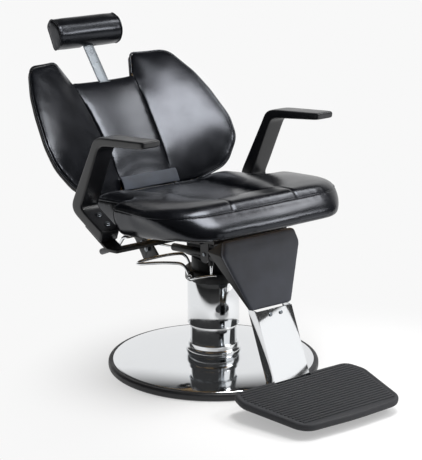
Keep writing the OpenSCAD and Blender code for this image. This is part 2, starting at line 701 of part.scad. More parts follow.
module pillow() {
  ends = [[-1, 0.94], [-0.985, 1], [-0.96, 0.985], [-0.75, 1], [-0.35, 1.02], [0.35, 1.02], [0.75, 1], [0.96, 0.985], [0.985, 1], [1, 0.94]];
  color(vinyl) difference() {
    skin([for (e = ends) [for (p = pillow_section) let (q = p[0] - p[1] * 0.569 > 160 ? p : pillow_core + (p - pillow_core) * e[1])
      [e[0] * pillow_w / 2, q[0], q[1]]]]);
    // slot for the bracket and the bar
    side_plate(-24, 48, [[612.5, 838], [612.5, 853], [646, 876], [690, 880], [690, 800], [600, 800], [604, 824]]);
  }
}

// ---------- legrest ----------

calf_slope = 15.6;

// Depth in Y of a point behind the calf pad's front plane
function calf_y(z, back) = -209 - (430 - z) * tan(calf_slope) + back;
function pad_back(z) = 9 + 8.5 * min(1, (z - 240) / 151);
calf_outline = rounded([[70, 240, 8], [132, 392, 14], [121, 430, 8], [-121, 430, 8], [-132, 392, 14], [-70, 240, 8]], 3);
calf_mid = [0, 345];
function calf_ring(inset, depth) = [for (p = calf_outline)
  let (q = ray(p, calf_mid, inset)) [q[0], calf_y(q[1], depth < 0 ? pad_back(q[1]) : depth), q[1]]];

module calf_pad() {
  color([0.27, 0.27, 0.29]) skin([calf_ring(60, -1), calf_ring(1, -1), calf_ring(0, 6), calf_ring(3, 2.6),
                                  calf_ring(9, 0.8), calf_ring(20, 0), calf_ring(70, 0)]);
}

// Rings of the calf box: from a depth behind the pad to its rear edge
function box_half(z) = z > 392 ? 132 - (z - 392) * 11 / 38 : 70 + (z - 240) * 62 / 152;
function box_ring(z, shrink, front, rear) =
  let (h = box_half(z) - shrink, y0 = calf_y(z, pad_back(z) + front), y1 = calf_y(z, 14 + 63 * min(1, (z - 240) / 151) + rear))
  [[-h, y0, z], [h, y0, z], [h, y1, z], [-h, y1, z]];

module calf_box() {
  color(black) difference() {
    skin([for (z = [241, 391, 429]) box_ring(z, 0.8, 0.02, 0)]);
    skin([for (z = [246, 391, 440]) box_ring(z, 4, 3, 60)]);
    side_plate(-140, 280, [[-198, 431], [-143, 391], [-60, 391], [-60, 460], [-198, 460]]);
    translate([-61.5, -248.5, 230]) cube([123, 120, 30]);
  }
}

module legrest_hanger() {
  front = [[-357, 44], [-270.8, 238.5]];
  color(chrome) difference() {
    union() {
      // front web of the channel, then its flanges with the arms up to the hinge
      side_plate(-61, 122, [front[0], front[0] + [3.4, 0], front[1] + [3.4, 0], front[1]]);
      both() side_plate(57.5, 3.5, [front[0], front[0] + [40, 0], [-231, 238.5], [-168, 392], [-173, 412], [-183, 418], [-190, 412],
                                    [calf_y(391, 20.6), 391], [calf_y(246, 12.5), 246], [calf_y(246, 12.5), 238.5], front[1]]);
      shaft(-98, 98, knee_y, knee_z, 11);
    }
    shaft(-120, 120, knee_y, knee_z, 6 + run);
    foot_space() translate([-90, -80, -60]) cube([180, 160, 60 - foot_t + 4.8]);
  }
}

module hanger_screws() {
  color(steel) for (x = [-18, 18]) translate([x, -276.55, 225.6]) rotate([90 - 23.9, 0, 0]) cylinder(r = 5, h = 3);
}

foot_tilt = 4.15;

module foot_space() {
  translate([0, -342, 62]) rotate([foot_tilt, 0, 0]) mirror([0, 1, 0]) children();
}

foot_outline = rounded(mirrored([[0, -2, 900], [200, 2, 30], [foot_w / 2, 60, 66], [170, 264, 50], [0, 273, 900]]), 6);

function foot_half(y) = foot_w / 2 - 6 - (y < 50 ? (50 - y) * 0.35 : (y - 50) * 0.225);

module footplate() {
  color(rubber) foot_space() difference() {
    union() {
      translate([0, 0, -foot_t]) linear_extrude(foot_t - 2.5) polygon(foot_outline);
      translate([0, 0, -3]) linear_extrude(3) polygon([for (p = foot_outline) let (q = ray(p, [0, 130], 6)) q]);
      for (y = [10:rib_pitch:244]) translate([-foot_half(y) + 6, y, -1]) cube([2 * foot_half(y) - 12, 5, 2.5]);
    }
    translate([-62.5, -20, -foot_t - 1]) cube([125, 37, foot_t + 8]);
    translate([-80, 4, -foot_t - 1]) cube([160, 200, 5.8]);
  }
}

module foot_carrier() {
  color(black) foot_space() {
    translate([-79, 6.5, -foot_t]) cube([158, 190, 4.8]);
    translate([-57, -34, -foot_t]) cube([114, 42, 4.8]);
  }
}

// ---------- recline gear ----------

module gas_space() {
  translate([gas_x, gas_front[0], gas_front[1]]) rotate([gas_slope, 0, 0]) children();
}

module gas_cylinder() {
  color([0.2, 0.2, 0.22]) gas_space() difference() {
    union() {
      translate([0, 18, 0]) rotate([-90, 0, 0]) cylinder(r = 11, h = 144);
      translate([-6, -10, -8]) cube([12, 30, 16]);
    }
    translate([0, 22, 0]) rotate([-90, 0, 0]) cylinder(r = 8, h = 132);
    translate([0, 150, 0]) rotate([-90, 0, 0]) cylinder(r = 4 + run, h = 20);
    rotate([0, 90, 0]) translate([0, 0, -10]) cylinder(r = 5 + run, h = 20);
  }
}

module gas_rod() {
  color(chrome) gas_space() {
    translate([0, 90, 0]) rotate([-90, 0, 0]) cylinder(r = 4, h = gas_len - 98);
    translate([0, 90, 0]) rotate([-90, 0, 0]) cylinder(r = 8 - run, h = 8);
    difference() {
      translate([-6, gas_len, 0]) rotate([0, 90, 0]) cylinder(r = 10, h = 12);
      translate([-7, gas_len, 0]) rotate([0, 90, 0]) cylinder(r = 5.2, h = 14);
    }
  }
}

module recline_lever() {
  color(chrome) {
    shaft(-242, -rail_x + 1, lever_y, lever_z, 5);
    wire([[-240, lever_y, lever_z], [-246, lever_y + 1, lever_z], [-250, lever_y + 5, lever_z - 1], [-250, lever_y + 12, lever_z - 6],
          [-250, lever_y + 30, lever_z - 28], [-250, lever_y + 45, lever_z - 38], [-250, lever_y + 66, lever_z - 47]], 5);
    // crank of the release rod
    side_plate(-139.5, 5, rounded([[lever_y - 8, lever_z + 7, 6], [lever_y + 8, lever_z + 7, 6], [lever_y + 6, 374, 5], [lever_y - 6, 374, 5]]));
  }
}

module lever_grip() {
  color(black) difference() {
    translate([-250, lever_y + 62, lever_z - 45.2]) rotate([-113, 0, 0]) cylinder(r = 9, h = 60);
    wire([[-250, lever_y + 45, lever_z - 38], [-250, lever_y + 66, lever_z - 47]], 5);
  }
}

module release_rod() {
  color(chrome) translate([-131.9, 64, 380]) rotate([-90, 0, 0]) cylinder(r = 2.5, h = 120);
}

base_plate();
rim_ring();
base_cover();
collar();
guide_tube();
guide_bush();
base_screws();
bearing_race();
bearing_balls();
ram();
ram_piston();
pump_barrel();
column_sleeve();
pump_head();
plunger_guide();
plunger();
pedal_pins();
pedal();
seat_frame();
deck_bolts();
arm_carrier();
seat_board();
seat_cushion();
armrest_left();
armrest_right();
arm_bolts();
hinge_shaft();
shaft_nuts();
legrest_pins();
gas_pin();
back_frame();
back_screws();
back_shell();
back_board();
back_cushion();
headrest_guide();
flap();
headrest_bar();
headrest_pin();
pillow_bracket();
pillow();
legrest_hanger();
calf_box();
calf_pad();
hanger_screws();
foot_carrier();
footplate();
gas_cylinder();
gas_rod();
recline_lever();
lever_grip();
release_rod();
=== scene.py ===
# %% [markdown]
# This lesson dresses a hydraulic barber chair. The engineering model is loaded first and never moved: it fixes every
# size, place and joint. Each visible part then gets the form of its real material, such as sewn vinyl over foam, bent
# chromed wire or moulded rubber. Everything is in metres, while the numbers below are in millimetres, as on a drawing.

# %% Load the frame
import json
import math

import bmesh
import bpy
import numpy as np
from mathutils import Matrix, Vector
from mathutils.bvhtree import BVHTree
from mathutils.kdtree import KDTree

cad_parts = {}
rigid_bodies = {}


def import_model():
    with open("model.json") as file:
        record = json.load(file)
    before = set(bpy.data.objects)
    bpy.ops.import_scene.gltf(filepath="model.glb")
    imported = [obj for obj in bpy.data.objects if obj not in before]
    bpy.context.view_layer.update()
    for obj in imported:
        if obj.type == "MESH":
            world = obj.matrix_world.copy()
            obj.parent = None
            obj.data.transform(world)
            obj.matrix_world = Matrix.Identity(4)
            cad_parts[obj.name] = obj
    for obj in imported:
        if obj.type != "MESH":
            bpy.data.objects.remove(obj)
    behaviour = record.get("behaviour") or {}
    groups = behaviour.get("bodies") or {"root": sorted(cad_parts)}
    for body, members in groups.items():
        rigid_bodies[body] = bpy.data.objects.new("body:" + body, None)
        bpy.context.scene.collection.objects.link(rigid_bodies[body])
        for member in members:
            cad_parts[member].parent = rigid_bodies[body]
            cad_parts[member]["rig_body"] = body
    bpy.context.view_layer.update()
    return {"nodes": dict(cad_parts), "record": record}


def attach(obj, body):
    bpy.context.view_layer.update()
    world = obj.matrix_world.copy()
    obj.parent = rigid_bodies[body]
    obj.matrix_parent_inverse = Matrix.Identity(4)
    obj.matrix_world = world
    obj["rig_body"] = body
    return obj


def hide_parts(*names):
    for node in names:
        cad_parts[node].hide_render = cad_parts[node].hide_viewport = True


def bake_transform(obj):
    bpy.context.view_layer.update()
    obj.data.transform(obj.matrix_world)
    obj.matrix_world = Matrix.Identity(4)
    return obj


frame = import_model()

MM = 0.001
scene = bpy.context.scene

# %% [markdown]
# The camera stands in front of the chair on the sitter's right and looks slightly down, through a long lens that keeps
# the proportions calm. It could be aimed with a constraint, but a written matrix has nothing left to solve.

# %% Camera
CAMERA_TURN, CAMERA_DIP = math.radians(-37.407), math.radians(15.787)
CAMERA_PLACE, LENS = (-2.8887, -3.7658, 1.7397), 137.8
backwards = Vector((math.sin(CAMERA_TURN) * math.cos(CAMERA_DIP), -math.cos(CAMERA_TURN) * math.cos(CAMERA_DIP),
                    math.sin(CAMERA_DIP)))
rightwards = Vector((math.cos(CAMERA_TURN), math.sin(CAMERA_TURN), 0))
upwards = backwards.cross(rightwards)
camera_data = bpy.data.cameras.new("camera")
camera_data.lens = LENS
camera = bpy.data.objects.new("camera", camera_data)
scene.collection.objects.link(camera)
camera.matrix_world = Matrix([*zip(rightwards, upwards, backwards, CAMERA_PLACE), (0, 0, 0, 1)])
scene.camera = camera
print("camera", tuple(round(v, 3) for v in camera.matrix_world.translation))

# %% [markdown]
# Materials come next. One function turns a colour from a paint chart into linear light, and one adds a node with its
# settings and links. Short ones for noise, ranges, bumps and mixed colours let each finish below read like a recipe.

# %% Colour and node helpers
def tone(code):
    parts = [int(code[i:i + 2], 16) / 255 for i in (1, 3, 5)]
    return tuple(p / 12.92 if p <= 0.04045 else ((p + 0.055) / 1.055) ** 2.4 for p in parts) + (1,)


def blank(owner):
    """The emptied node tree of a material or a world."""
    owner.use_nodes = True
    owner.node_tree.nodes.clear()
    return owner.node_tree


def add(tree, kind, links=None, **settings):
    node = tree.nodes.new("ShaderNode" + kind)
    for key, value in settings.items():
        if key in node.bl_rna.properties:
            setattr(node, key, value)
        elif key.startswith("input_"):
            node.inputs[int(key[6:])].default_value = value
        else:
            node.inputs[key.replace("_", " ")].default_value = value
    for socket, source in (links or {}).items():
        tree.links.new(source, node.inputs[socket])
    return node


def noise(place, size, **settings):
    """Soft noise with features of this size, in mm. An output's id_data is the node tree that it belongs to."""
    return add(place.id_data, "TexNoise", {"Vector": place}, Scale=1000 / size, **settings).outputs["Fac"]


def spread(source, low, high, to_low, to_high, **settings):
    """The source's range from low to high, stretched over another range."""
    return add(source.id_data, "MapRange", {"Value": source}, From_Min=low, From_Max=high, To_Min=to_low,
               To_Max=to_high, **settings).outputs["Result"]


def bumpy(source, strength, depth, **links):
    """A bump of this depth, in mm."""
    bump = add(source.id_data, "Bump", {"Height": source, **links}, Strength=strength, Distance=depth * MM)
    return bump.outputs["Normal"]


def blend_tones(source, first, second):
    """Mixes two tones, the first where the source is 0."""
    mixed = add(source.id_data, "Mix", {"Factor": source}, data_type="RGBA", input_6=tone(first), input_7=tone(second))
    return mixed.outputs[2]


def start_finish(name, **constants):
    """A material with its shader and its output, and the place on the piece that patterns read."""
    material = bpy.data.materials.new(name)
    tree = blank(material)
    shader = add(tree, "BsdfPrincipled", **constants)
    add(tree, "OutputMaterial", {"Surface": shader.outputs["BSDF"]})
    return material, shader, add(tree, "TexCoord").outputs["Object"]


def feed(shader, **links):
    for socket, source in links.items():
        source.id_data.links.new(source, shader.inputs[socket.replace("_", " ")])


print("node helpers ready")

# %% [markdown]
# Upholstery vinyl is a soft PVC skin on a knitted cloth. It is embossed with a leather grain of about 2 mm and has a
# clear glossy coat, so broad lamps show as broad highlights. The foam under it is never quite even, which a slow wave
# of the surface shows. The flap shows the matt side of the same cloth, and the calf pad a softer, bluer vinyl.

# %% Vinyl
def vinyl(name, dark, light, gloss, grain, hollow, **constants):
    """gloss is its lowest and highest roughness, grain the depth of the emboss and hollow that of the waves, in mm."""
    material, shader, place = start_finish(name, **constants)
    waves = noise(place, 70, Detail=2)
    cloudy = noise(place, 45, Detail=2)
    pores = add(place.id_data, "TexVoronoi", {"Vector": place}, Scale=1000 / 1.9).outputs["Distance"]
    rough = spread(cloudy, 0.3, 0.7, *gloss)
    colour = add(place.id_data, "ValToRGB", {"Fac": cloudy})
    for stop, position, code in zip(colour.color_ramp.elements, (0.3, 0.75), (dark, light)):
        stop.position, stop.color = position, tone(code)
    fine = bumpy(pores, 0.15, grain, Normal=bumpy(waves, 0.6, hollow))
    feed(shader, Base_Color=colour.outputs["Color"], Roughness=rough, Normal=fine)
    return material


finishes = {
    "black_vinyl": vinyl("glossy_pvc_upholstery", "#07080b", "#0f1014", (0.23, 0.27), 0.012, 0.2, IOR=1.5,
                         Specular_Tint=tone("#e6ebf6")),
    "calf_vinyl": vinyl("satin_pvc_upholstery", "#272a32", "#33363f", (0.42, 0.5), 0.10, 0.5, IOR=1.5,
                        Sheen_Weight=0.25, Sheen_Roughness=0.5, Sheen_Tint=tone("#9aa3bd")),
    "flap_vinyl": vinyl("matt_knitted_backing", "#2d3138", "#3d424b", (0.62, 0.75), 0.16, 1.2, IOR=1.45,
                        Sheen_Weight=0.3, Sheen_Roughness=0.6, Sheen_Tint=tone("#a9b1c4")),
}
print("vinyl finishes", sorted(finishes))

# %% [markdown]
# Metals differ mostly in how smooth they are. Decorative chrome is a mirror with faint wiping marks, zinc plating is
# greyer and dulled by tumbling, and yellow passivated zinc looks like brass. Powder coat and the paint on the pump
# casting are plastics on metal, with an orange peel of a few millimetres, rubbed a little lighter along the edges.

# %% Metals and paints
def plated(name, colour, gloss, **constants):
    material, shader, place = start_finish(name, Metallic=1.0, Base_Color=tone(colour), **constants)
    wiped = noise(place, 38, Detail=4, Distortion=0.6)
    feed(shader, Roughness=spread(wiped, 0.35, 0.7, *gloss))
    return material


def painted(name, dark, worn, gloss, peel_size, peel_depth, **constants):
    material, shader, place = start_finish(name, IOR=1.45, **constants)
    peel = noise(place, peel_size, Detail=3)
    dust = noise(place, 45, Detail=5)
    wear = spread(add(place.id_data, "NewGeometry").outputs["Pointiness"], 0.53, 0.62, 0.0, 0.6)
    feed(shader, Base_Color=blend_tones(wear, dark, worn),
         Roughness=spread(dust, 0.0, 1.0, *gloss), Normal=bumpy(peel, 0.4, peel_depth))
    return material


finishes.update({
    "chrome": plated("decorative_chrome_plate", "#e4e6e8", (0.05, 0.12)),
    "zinc_steel": plated("bright_zinc_plate", "#7d8287", (0.26, 0.38)),
    "brass_nut": plated("yellow_passivated_zinc", "#c8a860", (0.25, 0.4)),
    "black_steel": painted("semi_gloss_powder_coat", "#0d0e10", "#242528", (0.38, 0.5), 2.5, 0.10),
    "pump_black": painted("painted_iron_casting", "#0f1013", "#2c2d31", (0.38, 0.55), 4.0, 0.25),
})
print("metal finishes added, now", len(finishes))

# %% [markdown]
# The armrests are moulded from polyurethane foam with its own tough skin, satin with a fine pebble texture. The shell
# is textured ABS, the lever's grip a softer grey PVC, and the rim and the foot plate are black rubber, which is never
# truly black: dust in its pores makes it dark grey. The seat board is birch plywood.

# %% Plastics, rubber and wood
def moulded(name, dark, light, gloss, grain_size, grain_depth, **constants):
    material, shader, place = start_finish(name, **constants)
    grain = noise(place, grain_size, Detail=2)
    haze = noise(place, 55, Detail=4)
    feed(shader, Base_Color=blend_tones(haze, dark, light),
         Roughness=spread(haze, 0.3, 0.7, *gloss), Normal=bumpy(grain, 0.5, grain_depth))
    return material


def plywood():
    material, shader, place = start_finish("birch_plywood", IOR=1.45)
    along = add(place.id_data, "Mapping", {"Vector": place}, Scale=(1, 0.12, 1)).outputs["Vector"]
    grain = noise(along, 6, Detail=6)
    feed(shader, Base_Color=blend_tones(grain, "#a88457", "#d8b98a"),
         Roughness=spread(grain, 0.0, 1.0, 0.5, 0.7))
    return material


finishes.update({
    "arm_foam": moulded("skinned_polyurethane_foam", "#121316", "#1b1c1f", (0.28, 0.36), 1.6, 0.05, IOR=1.48),
    "shell_plastic": moulded("textured_abs", "#131416", "#1b1c1f", (0.42, 0.52), 1.2, 0.10, IOR=1.53),
    "grip_plastic": moulded("soft_grey_pvc", "#2a2b2e", "#3a3c40", (0.38, 0.5), 1.8, 0.10, IOR=1.5),
    "rim_rubber": moulded("extruded_rubber", "#16171a", "#222327", (0.42, 0.56), 2.0, 0.08, IOR=1.52),
    "foot_rubber": moulded("pressed_rubber", "#232427", "#313236", (0.62, 0.78), 1.6, 0.14, IOR=1.5),
    "nylon": moulded("turned_nylon", "#c9c5b4", "#dcd9cc", (0.4, 0.5), 3.0, 0.05, IOR=1.53),
    "plywood": plywood(),
})
slots = {m["slot"] for m in frame["record"]["materials"]}
print("slots without a finish:", sorted(slots - set(finishes)))

# %% [markdown]
# Every part of the engineering model first gets the finish of its slot. Parts that are hidden or already round, such as
# the ram and the rim, stay as they are. Parts with sharp machined edges are copied and their edges broken, because a
# real edge always catches a thin line of light.

# %% Finish every part, and helpers that dress a copy
slot_of = {}
for part_name, part in frame["nodes"].items():
    slot_of[part_name] = part.material_slots[0].material.name
    part.material_slots[0].material = finishes[slot_of[part_name]]


def pick(piece):
    """Selects one object and nothing else, and makes it active."""
    if bpy.context.object and bpy.context.object.mode != "OBJECT":
        bpy.ops.object.mode_set(mode="OBJECT")
    bpy.ops.object.select_all(action="DESELECT")
    piece.select_set(True)
    bpy.context.view_layer.objects.active = piece


def new_piece(name, data):
    piece = bpy.data.objects.new(name, data)
    scene.collection.objects.link(piece)
    pick(piece)
    return piece


def from_points(name, points, faces, edges=()):
    """A piece with these corners, in metres."""
    mesh = bpy.data.meshes.new(name)
    mesh.from_pydata([tuple(p) for p in points], edges, faces)
    return new_piece(name, mesh)


def edit(piece, *steps):
    """Puts the whole of a piece through mesh operators, each given as its name and its settings."""
    pick(piece)
    bpy.ops.object.mode_set(mode="EDIT")
    bpy.ops.mesh.select_all(action="SELECT")
    for operator, settings in steps:
        getattr(bpy.ops.mesh, operator)(**settings)
    bpy.ops.object.mode_set(mode="OBJECT")


def join(pieces):
    """Joins pieces into the first of them."""
    pick(pieces[0])
    for piece in pieces[1:]:
        piece.select_set(True)
    bpy.ops.object.join()
    return pieces[0]


def merge(threshold):
    return "remove_doubles", {"threshold": threshold}


FACES_OUT = ("normals_make_consistent", {"inside": False})


def shade(piece, angle=None):
    """Smooth shading, or only where faces meet at less than this angle, in degrees."""
    pick(piece)
    if angle is None:
        bpy.ops.object.shade_smooth()
    else:
        bpy.ops.object.shade_smooth_by_angle(angle=math.radians(angle))


def hand_over(piece, body, slot, *nodes):
    """The piece gets the slot's finish, rides on a body, and stands for the engineering parts named."""
    piece.data.materials.clear()
    piece.data.materials.append(finishes[slot])
    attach(piece, body)
    if nodes:
        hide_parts(*nodes)
    return piece


def copy_part(node, name, step):
    """A merged copy of an engineering part, put through one mesh operator."""
    piece = new_piece(name, frame["nodes"][node].data.copy())
    bpy.ops.mesh.customdata_custom_splitnormals_clear()
    edit(piece, merge(0.00001), step)
    return piece


def apply_modifier(piece, kind, **settings):
    pick(piece)
    bpy.ops.object.modifier_add(type=kind)
    modifier = piece.modifiers[-1]
    for key, value in settings.items():
        setattr(modifier, key, value)
    bpy.ops.object.modifier_apply(modifier=modifier.name)


def break_edges(piece, edge, angle=30):
    apply_modifier(piece, "BEVEL", width=edge * MM, segments=2, limit_method="ANGLE", angle_limit=math.radians(angle))


def dress(node, edge, angle=34, slot=None):
    """A copy of an engineering part, with its flat faces made whole and its edges broken by edge mm."""
    body = frame["nodes"][node]["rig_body"]
    piece = copy_part(node, node + "_finished", ("dissolve_limited", {"angle_limit": math.radians(0.5)}))
    break_edges(piece, edge, angle)
    shade(piece, angle)
    hand_over(piece, body, slot or slot_of[node], node)


broken_edges = dict(
    collar=0.8, guide_tube=0.5, column_sleeve=0.6, pump_head=1.2, plunger_guide=0.6, plunger=0.4, pedal_pins=0.4,
    seat_frame=0.6, deck_bolts=0.4, arm_carrier=0.6, arm_bolts=0.4, hinge_shaft=0.5, shaft_nuts=0.6, legrest_pins=0.4,
    gas_pin=0.4, back_frame=0.8, back_screws=0.4, headrest_guide=0.5, headrest_pin=0.4, pillow_bracket=0.5,
    legrest_hanger=0.7, hanger_screws=0.5, foot_carrier=0.6, gas_cylinder=0.6, gas_rod=0.4, release_rod=0.4,
    seat_board=0.6)
for node, edge in broken_edges.items():
    dress(node, edge)
dress("headrest_bar", 0.6, slot="zinc_steel")

# %% [markdown]
# The soft parts and the foot plate are drawn on flat boards, as on a drawing: the seat's is tipped back 7 degrees, the
# backrest's leans 40 degrees and the foot plate's is tipped 4 degrees. These helpers carry points between a board and
# the chair, round the corners of an outline, draw it in, and walk along a curve in even steps.

# %% Drawing boards and curves
BOX_FACES = [(0, 1, 3, 2), (4, 6, 7, 5), (0, 4, 5, 1), (2, 3, 7, 6), (0, 2, 6, 4), (1, 5, 7, 3)]


def places(piece, what="co"):
    """Where a piece's points are, in metres, or their normals."""
    values = np.empty(len(piece.data.vertices) * 3)
    piece.data.vertices.foreach_get(what, values)
    return values.reshape(-1, 3)


def move_to(piece, co):
    piece.data.vertices.foreach_set("co", np.asarray(co).ravel())
    piece.data.update()


def board(y, z, tip):
    """A board with its origin at y and z, turned by tip degrees. The first function carries points, across, along and
    out of the board, in mm, to the chair, in metres. The second gives a piece's points on the board, and the third how
    squarely each of them faces out of it."""
    c, s = math.cos(math.radians(tip)), math.sin(math.radians(tip))

    def place(points):
        p = np.asarray(points, float)
        return np.stack([p[..., 0], y + p[..., 1] * c - p[..., 2] * s, z + p[..., 1] * s + p[..., 2] * c], -1) * MM

    def view(piece):
        p = places(piece) / MM - [0, y, z]
        return np.stack([p[:, 0], p[:, 1] * c + p[:, 2] * s, p[:, 2] * c - p[:, 1] * s], -1)

    def facing(piece):
        return places(piece, "normal") @ np.array([0, -s, c])

    return place, view, facing


on_seat, seat_view, seat_facing = board(0, 427, -7.07)
on_back, back_view, back_facing = board(317, 505, 50)
on_foot = board(-342, 62, 4.15)[0]


def smooth(t):
    t = np.clip(t, 0, 1)
    return t * t * (3 - 2 * t)


def mirrored(corners):
    return corners + [[-x, y, r] for x, y, r in reversed(corners) if abs(x) > 0.01]


def rounded(corners, steps):
    """A closed outline of [x, y, radius] corners, each turned into an arc."""
    points, count = [], len(corners)
    for i in range(count):
        before, here, after = (np.array(corners[(i + k) % count][:2], float) for k in (-1, 0, 1))
        u, v = ((q - here) / np.linalg.norm(q - here) for q in (before, after))
        half = math.acos(max(-1, min(1, float(u @ v)))) / 2
        m = (u + v) / np.linalg.norm(u + v)
        centre = here + m * corners[i][2] / math.sin(half)
        a, b = (here + w * corners[i][2] / math.tan(half) - centre for w in (u, v))
        first = math.atan2(a[1], a[0])
        turn = math.atan2(a[0] * b[1] - a[1] * b[0], float(a @ b))
        for k in range(steps + 1):
            angle = first + turn * k / steps
            points.append(centre + corners[i][2] * np.array([math.cos(angle), math.sin(angle)]))
    return np.array(points)


def raised(plan, height, side=1):
    """An outline in its board's plane, lifted to one height or to a height for each point. Side -1 mirrors it."""
    return np.column_stack([side * plan[:, 0], plan[:, 1], np.broadcast_to(height, len(plan))])


def drawn_in(outline, middle, inside):
    """The outline drawn in towards its middle, by so many mm."""
    reach = np.linalg.norm(outline - middle, axis=1)
    return middle + (outline - middle) * np.maximum(0, 1 - inside / reach)[:, None]


def looped(line):
    return np.vstack([line, line[:1]])


def stations(line):
    """How far along a line each of its points lies."""
    return np.concatenate([[0], np.cumsum(np.linalg.norm(np.diff(line, axis=0), axis=1))])


def even(points, step, closed=True, *others):
    """The same curve in even steps, and other curves cut at the same places."""
    p = np.asarray(points, float)
    length = stations(looped(p) if closed else p)
    count = max(4, int(round(length[-1] / step)))
    at = np.linspace(0, length[-1], count + 1)[:-1] if closed else np.linspace(0, length[-1], count)
    out = []
    for q in (p, *others):
        q = looped(q) if closed else np.asarray(q, float)
        out.append(np.stack([np.interp(at, length, q[:, k]) for k in range(q.shape[1])], -1))
    return out if others else out[0]


def flowing(points, step):
    """A smooth curve through a few points, in even steps."""
    p = np.asarray(points, float)
    out = []
    for i in range(len(p) - 1):
        a, b, c, d = (p[min(max(k, 0), len(p) - 1)] for k in (i - 1, i, i + 1, i + 2))
        square, cube = 2 * a - 5 * b + 4 * c - d, 3 * b - a - 3 * c + d
        for t in np.linspace(0, 1, 12, endpoint=False):
            out.append(0.5 * (2 * b + (c - a) * t + square * t ** 2 + cube * t ** 3))
    return even(out + [p[-1]], step, False)


print("drawing boards ready")

# %% [markdown]
# Padding is made the way an upholsterer sees it: a closed form is drawn ring by ring, given an even skin of small
# faces, and then blown up a little by the cloth solver while its seams and its board side are held. After that the
# seams are pressed in and the skin is puckered along them, since remeshing would have wiped out anything so fine. The
# steps that remeshing leaves show in a glossy skin, so it is relaxed before and after.

# %% Padding helpers
def ringed(name, rings):
    """A closed form over a stack of rings, in metres."""
    n, m = len(rings[0]), len(rings)
    points = np.vstack(list(rings) + [rings[0].mean(0)[None], rings[-1].mean(0)[None]])
    faces = [(i * n + j, i * n + (j + 1) % n, (i + 1) * n + (j + 1) % n, (i + 1) * n + j)
             for i in range(m - 1) for j in range(n)]
    faces += [(m * n, (j + 1) % n, j) for j in range(n)]
    faces += [(m * n + 1, (m - 1) * n + j, (m - 1) * n + (j + 1) % n) for j in range(n)]
    piece = from_points(name, points, faces)
    edit(piece, merge(0.00002), FACES_OUT)
    return piece


def nearest(co, line):
    """For each point: its distance in mm to a list of points, and how far along the list the nearest one is, in mm."""
    tree = KDTree(len(line))
    for i, p in enumerate(line):
        tree.insert(p, i)
    tree.balance()
    found = [tree.find(p) for p in co]
    return np.array([f[2] for f in found]) / MM, stations(line)[[f[1] for f in found]] / MM


def near(co, line, full, fade):
    """1 within so many mm of a line, fading to 0 over some more."""
    return 1 - smooth((nearest(co, line)[0] - full) / fade)


def relax(piece, times):
    """Evens out the small steps that remeshing leaves."""
    apply_modifier(piece, "SMOOTH", factor=0.5, iterations=times)


def even_skin(piece, size, times):
    pick(piece)
    piece.data.remesh_voxel_size = size * MM
    bpy.ops.object.voxel_remesh()
    relax(piece, times)


def neighbours_mean(piece, values, times):
    """Evens out a value that every point has, so that taut skin keeps no creases."""
    edges = np.empty(len(piece.data.edges) * 2, int)
    piece.data.edges.foreach_get("vertices", edges)
    a, b = edges.reshape(-1, 2).T
    total = len(piece.data.vertices)
    count = np.bincount(edges, minlength=total)[:, None]
    for _ in range(times):
        near = [np.bincount(a, values[b, k], total) + np.bincount(b, values[a, k], total) for k in range(3)]
        values = 0.4 * values + 0.6 * np.stack(near, -1) / count
    return values


HELD_STEPS, CLOTH_FRAMES = 8, 20


def blow_up(piece, held, most):
    """The cloth solver swells the skin where held is 0, and no point may move more than most mm."""
    before = places(piece)
    group = piece.vertex_groups.new(name="held")
    level = np.round(np.clip(held, 0, 1) * HELD_STEPS).astype(int)
    for step in range(1, HELD_STEPS + 1):
        group.add(np.flatnonzero(level == step).tolist(), step / HELD_STEPS, "REPLACE")
    pick(piece)
    bpy.ops.object.modifier_add(type="CLOTH")
    cloth = piece.modifiers[-1]
    for key, value in dict(quality=5, mass=0.3, tension_stiffness=15, compression_stiffness=15, shear_stiffness=8,
                           bending_stiffness=0.8, use_pressure=True, uniform_pressure_force=4.0,
                           vertex_group_mass="held").items():
        setattr(cloth.settings, key, value)
    cloth.settings.effector_weights.gravity = 0
    cloth.collision_settings.use_collision = False
    cloth.point_cache.frame_start, cloth.point_cache.frame_end = 1, CLOTH_FRAMES
    for frame_number in range(1, CLOTH_FRAMES + 1):
        scene.frame_set(frame_number)
    bpy.ops.object.modifier_apply(modifier=cloth.name)
    piece.vertex_groups.clear()
    moved = neighbours_mean(piece, places(piece) - before, 24)
    longest = np.linalg.norm(moved, axis=1).max() / MM
    move_to(piece, before + moved * min(1, most / longest))
    scene.frame_set(1)
    print(f"{piece.name}: swollen by up to {min(longest, most):.1f} mm, before the limit {longest:.1f} mm")


def refine(piece, levels=1):
    apply_modifier(piece, "SUBSURF", levels=levels, render_levels=levels)


def press_seam(piece, line, depth, half_width, pucker=0.0):
    """Presses a groove along a line of points, with small uneven puckers beside it."""
    co = places(piece)
    away, along = nearest(co, line)
    dip = -depth * np.exp(-(away / half_width) ** 2)
    ripple = np.sin(along / 6.5 + 2.0 * np.sin(along / 31.0)) * np.exp(-((away - 9) / 9) ** 2)
    move_to(piece, co + places(piece, "normal") * ((dip + pucker * ripple) * MM)[:, None])


def on_skin(piece, line, sunk=0.0):
    """The line's points moved onto the piece's skin, or a little into it."""
    tree = BVHTree.FromObject(piece, bpy.context.evaluated_depsgraph_get())
    out = []
    for p in line:
        spot, normal, _, _ = tree.find_nearest(Vector(p))
        out.append(spot - normal * sunk * MM)
    return np.array(out)


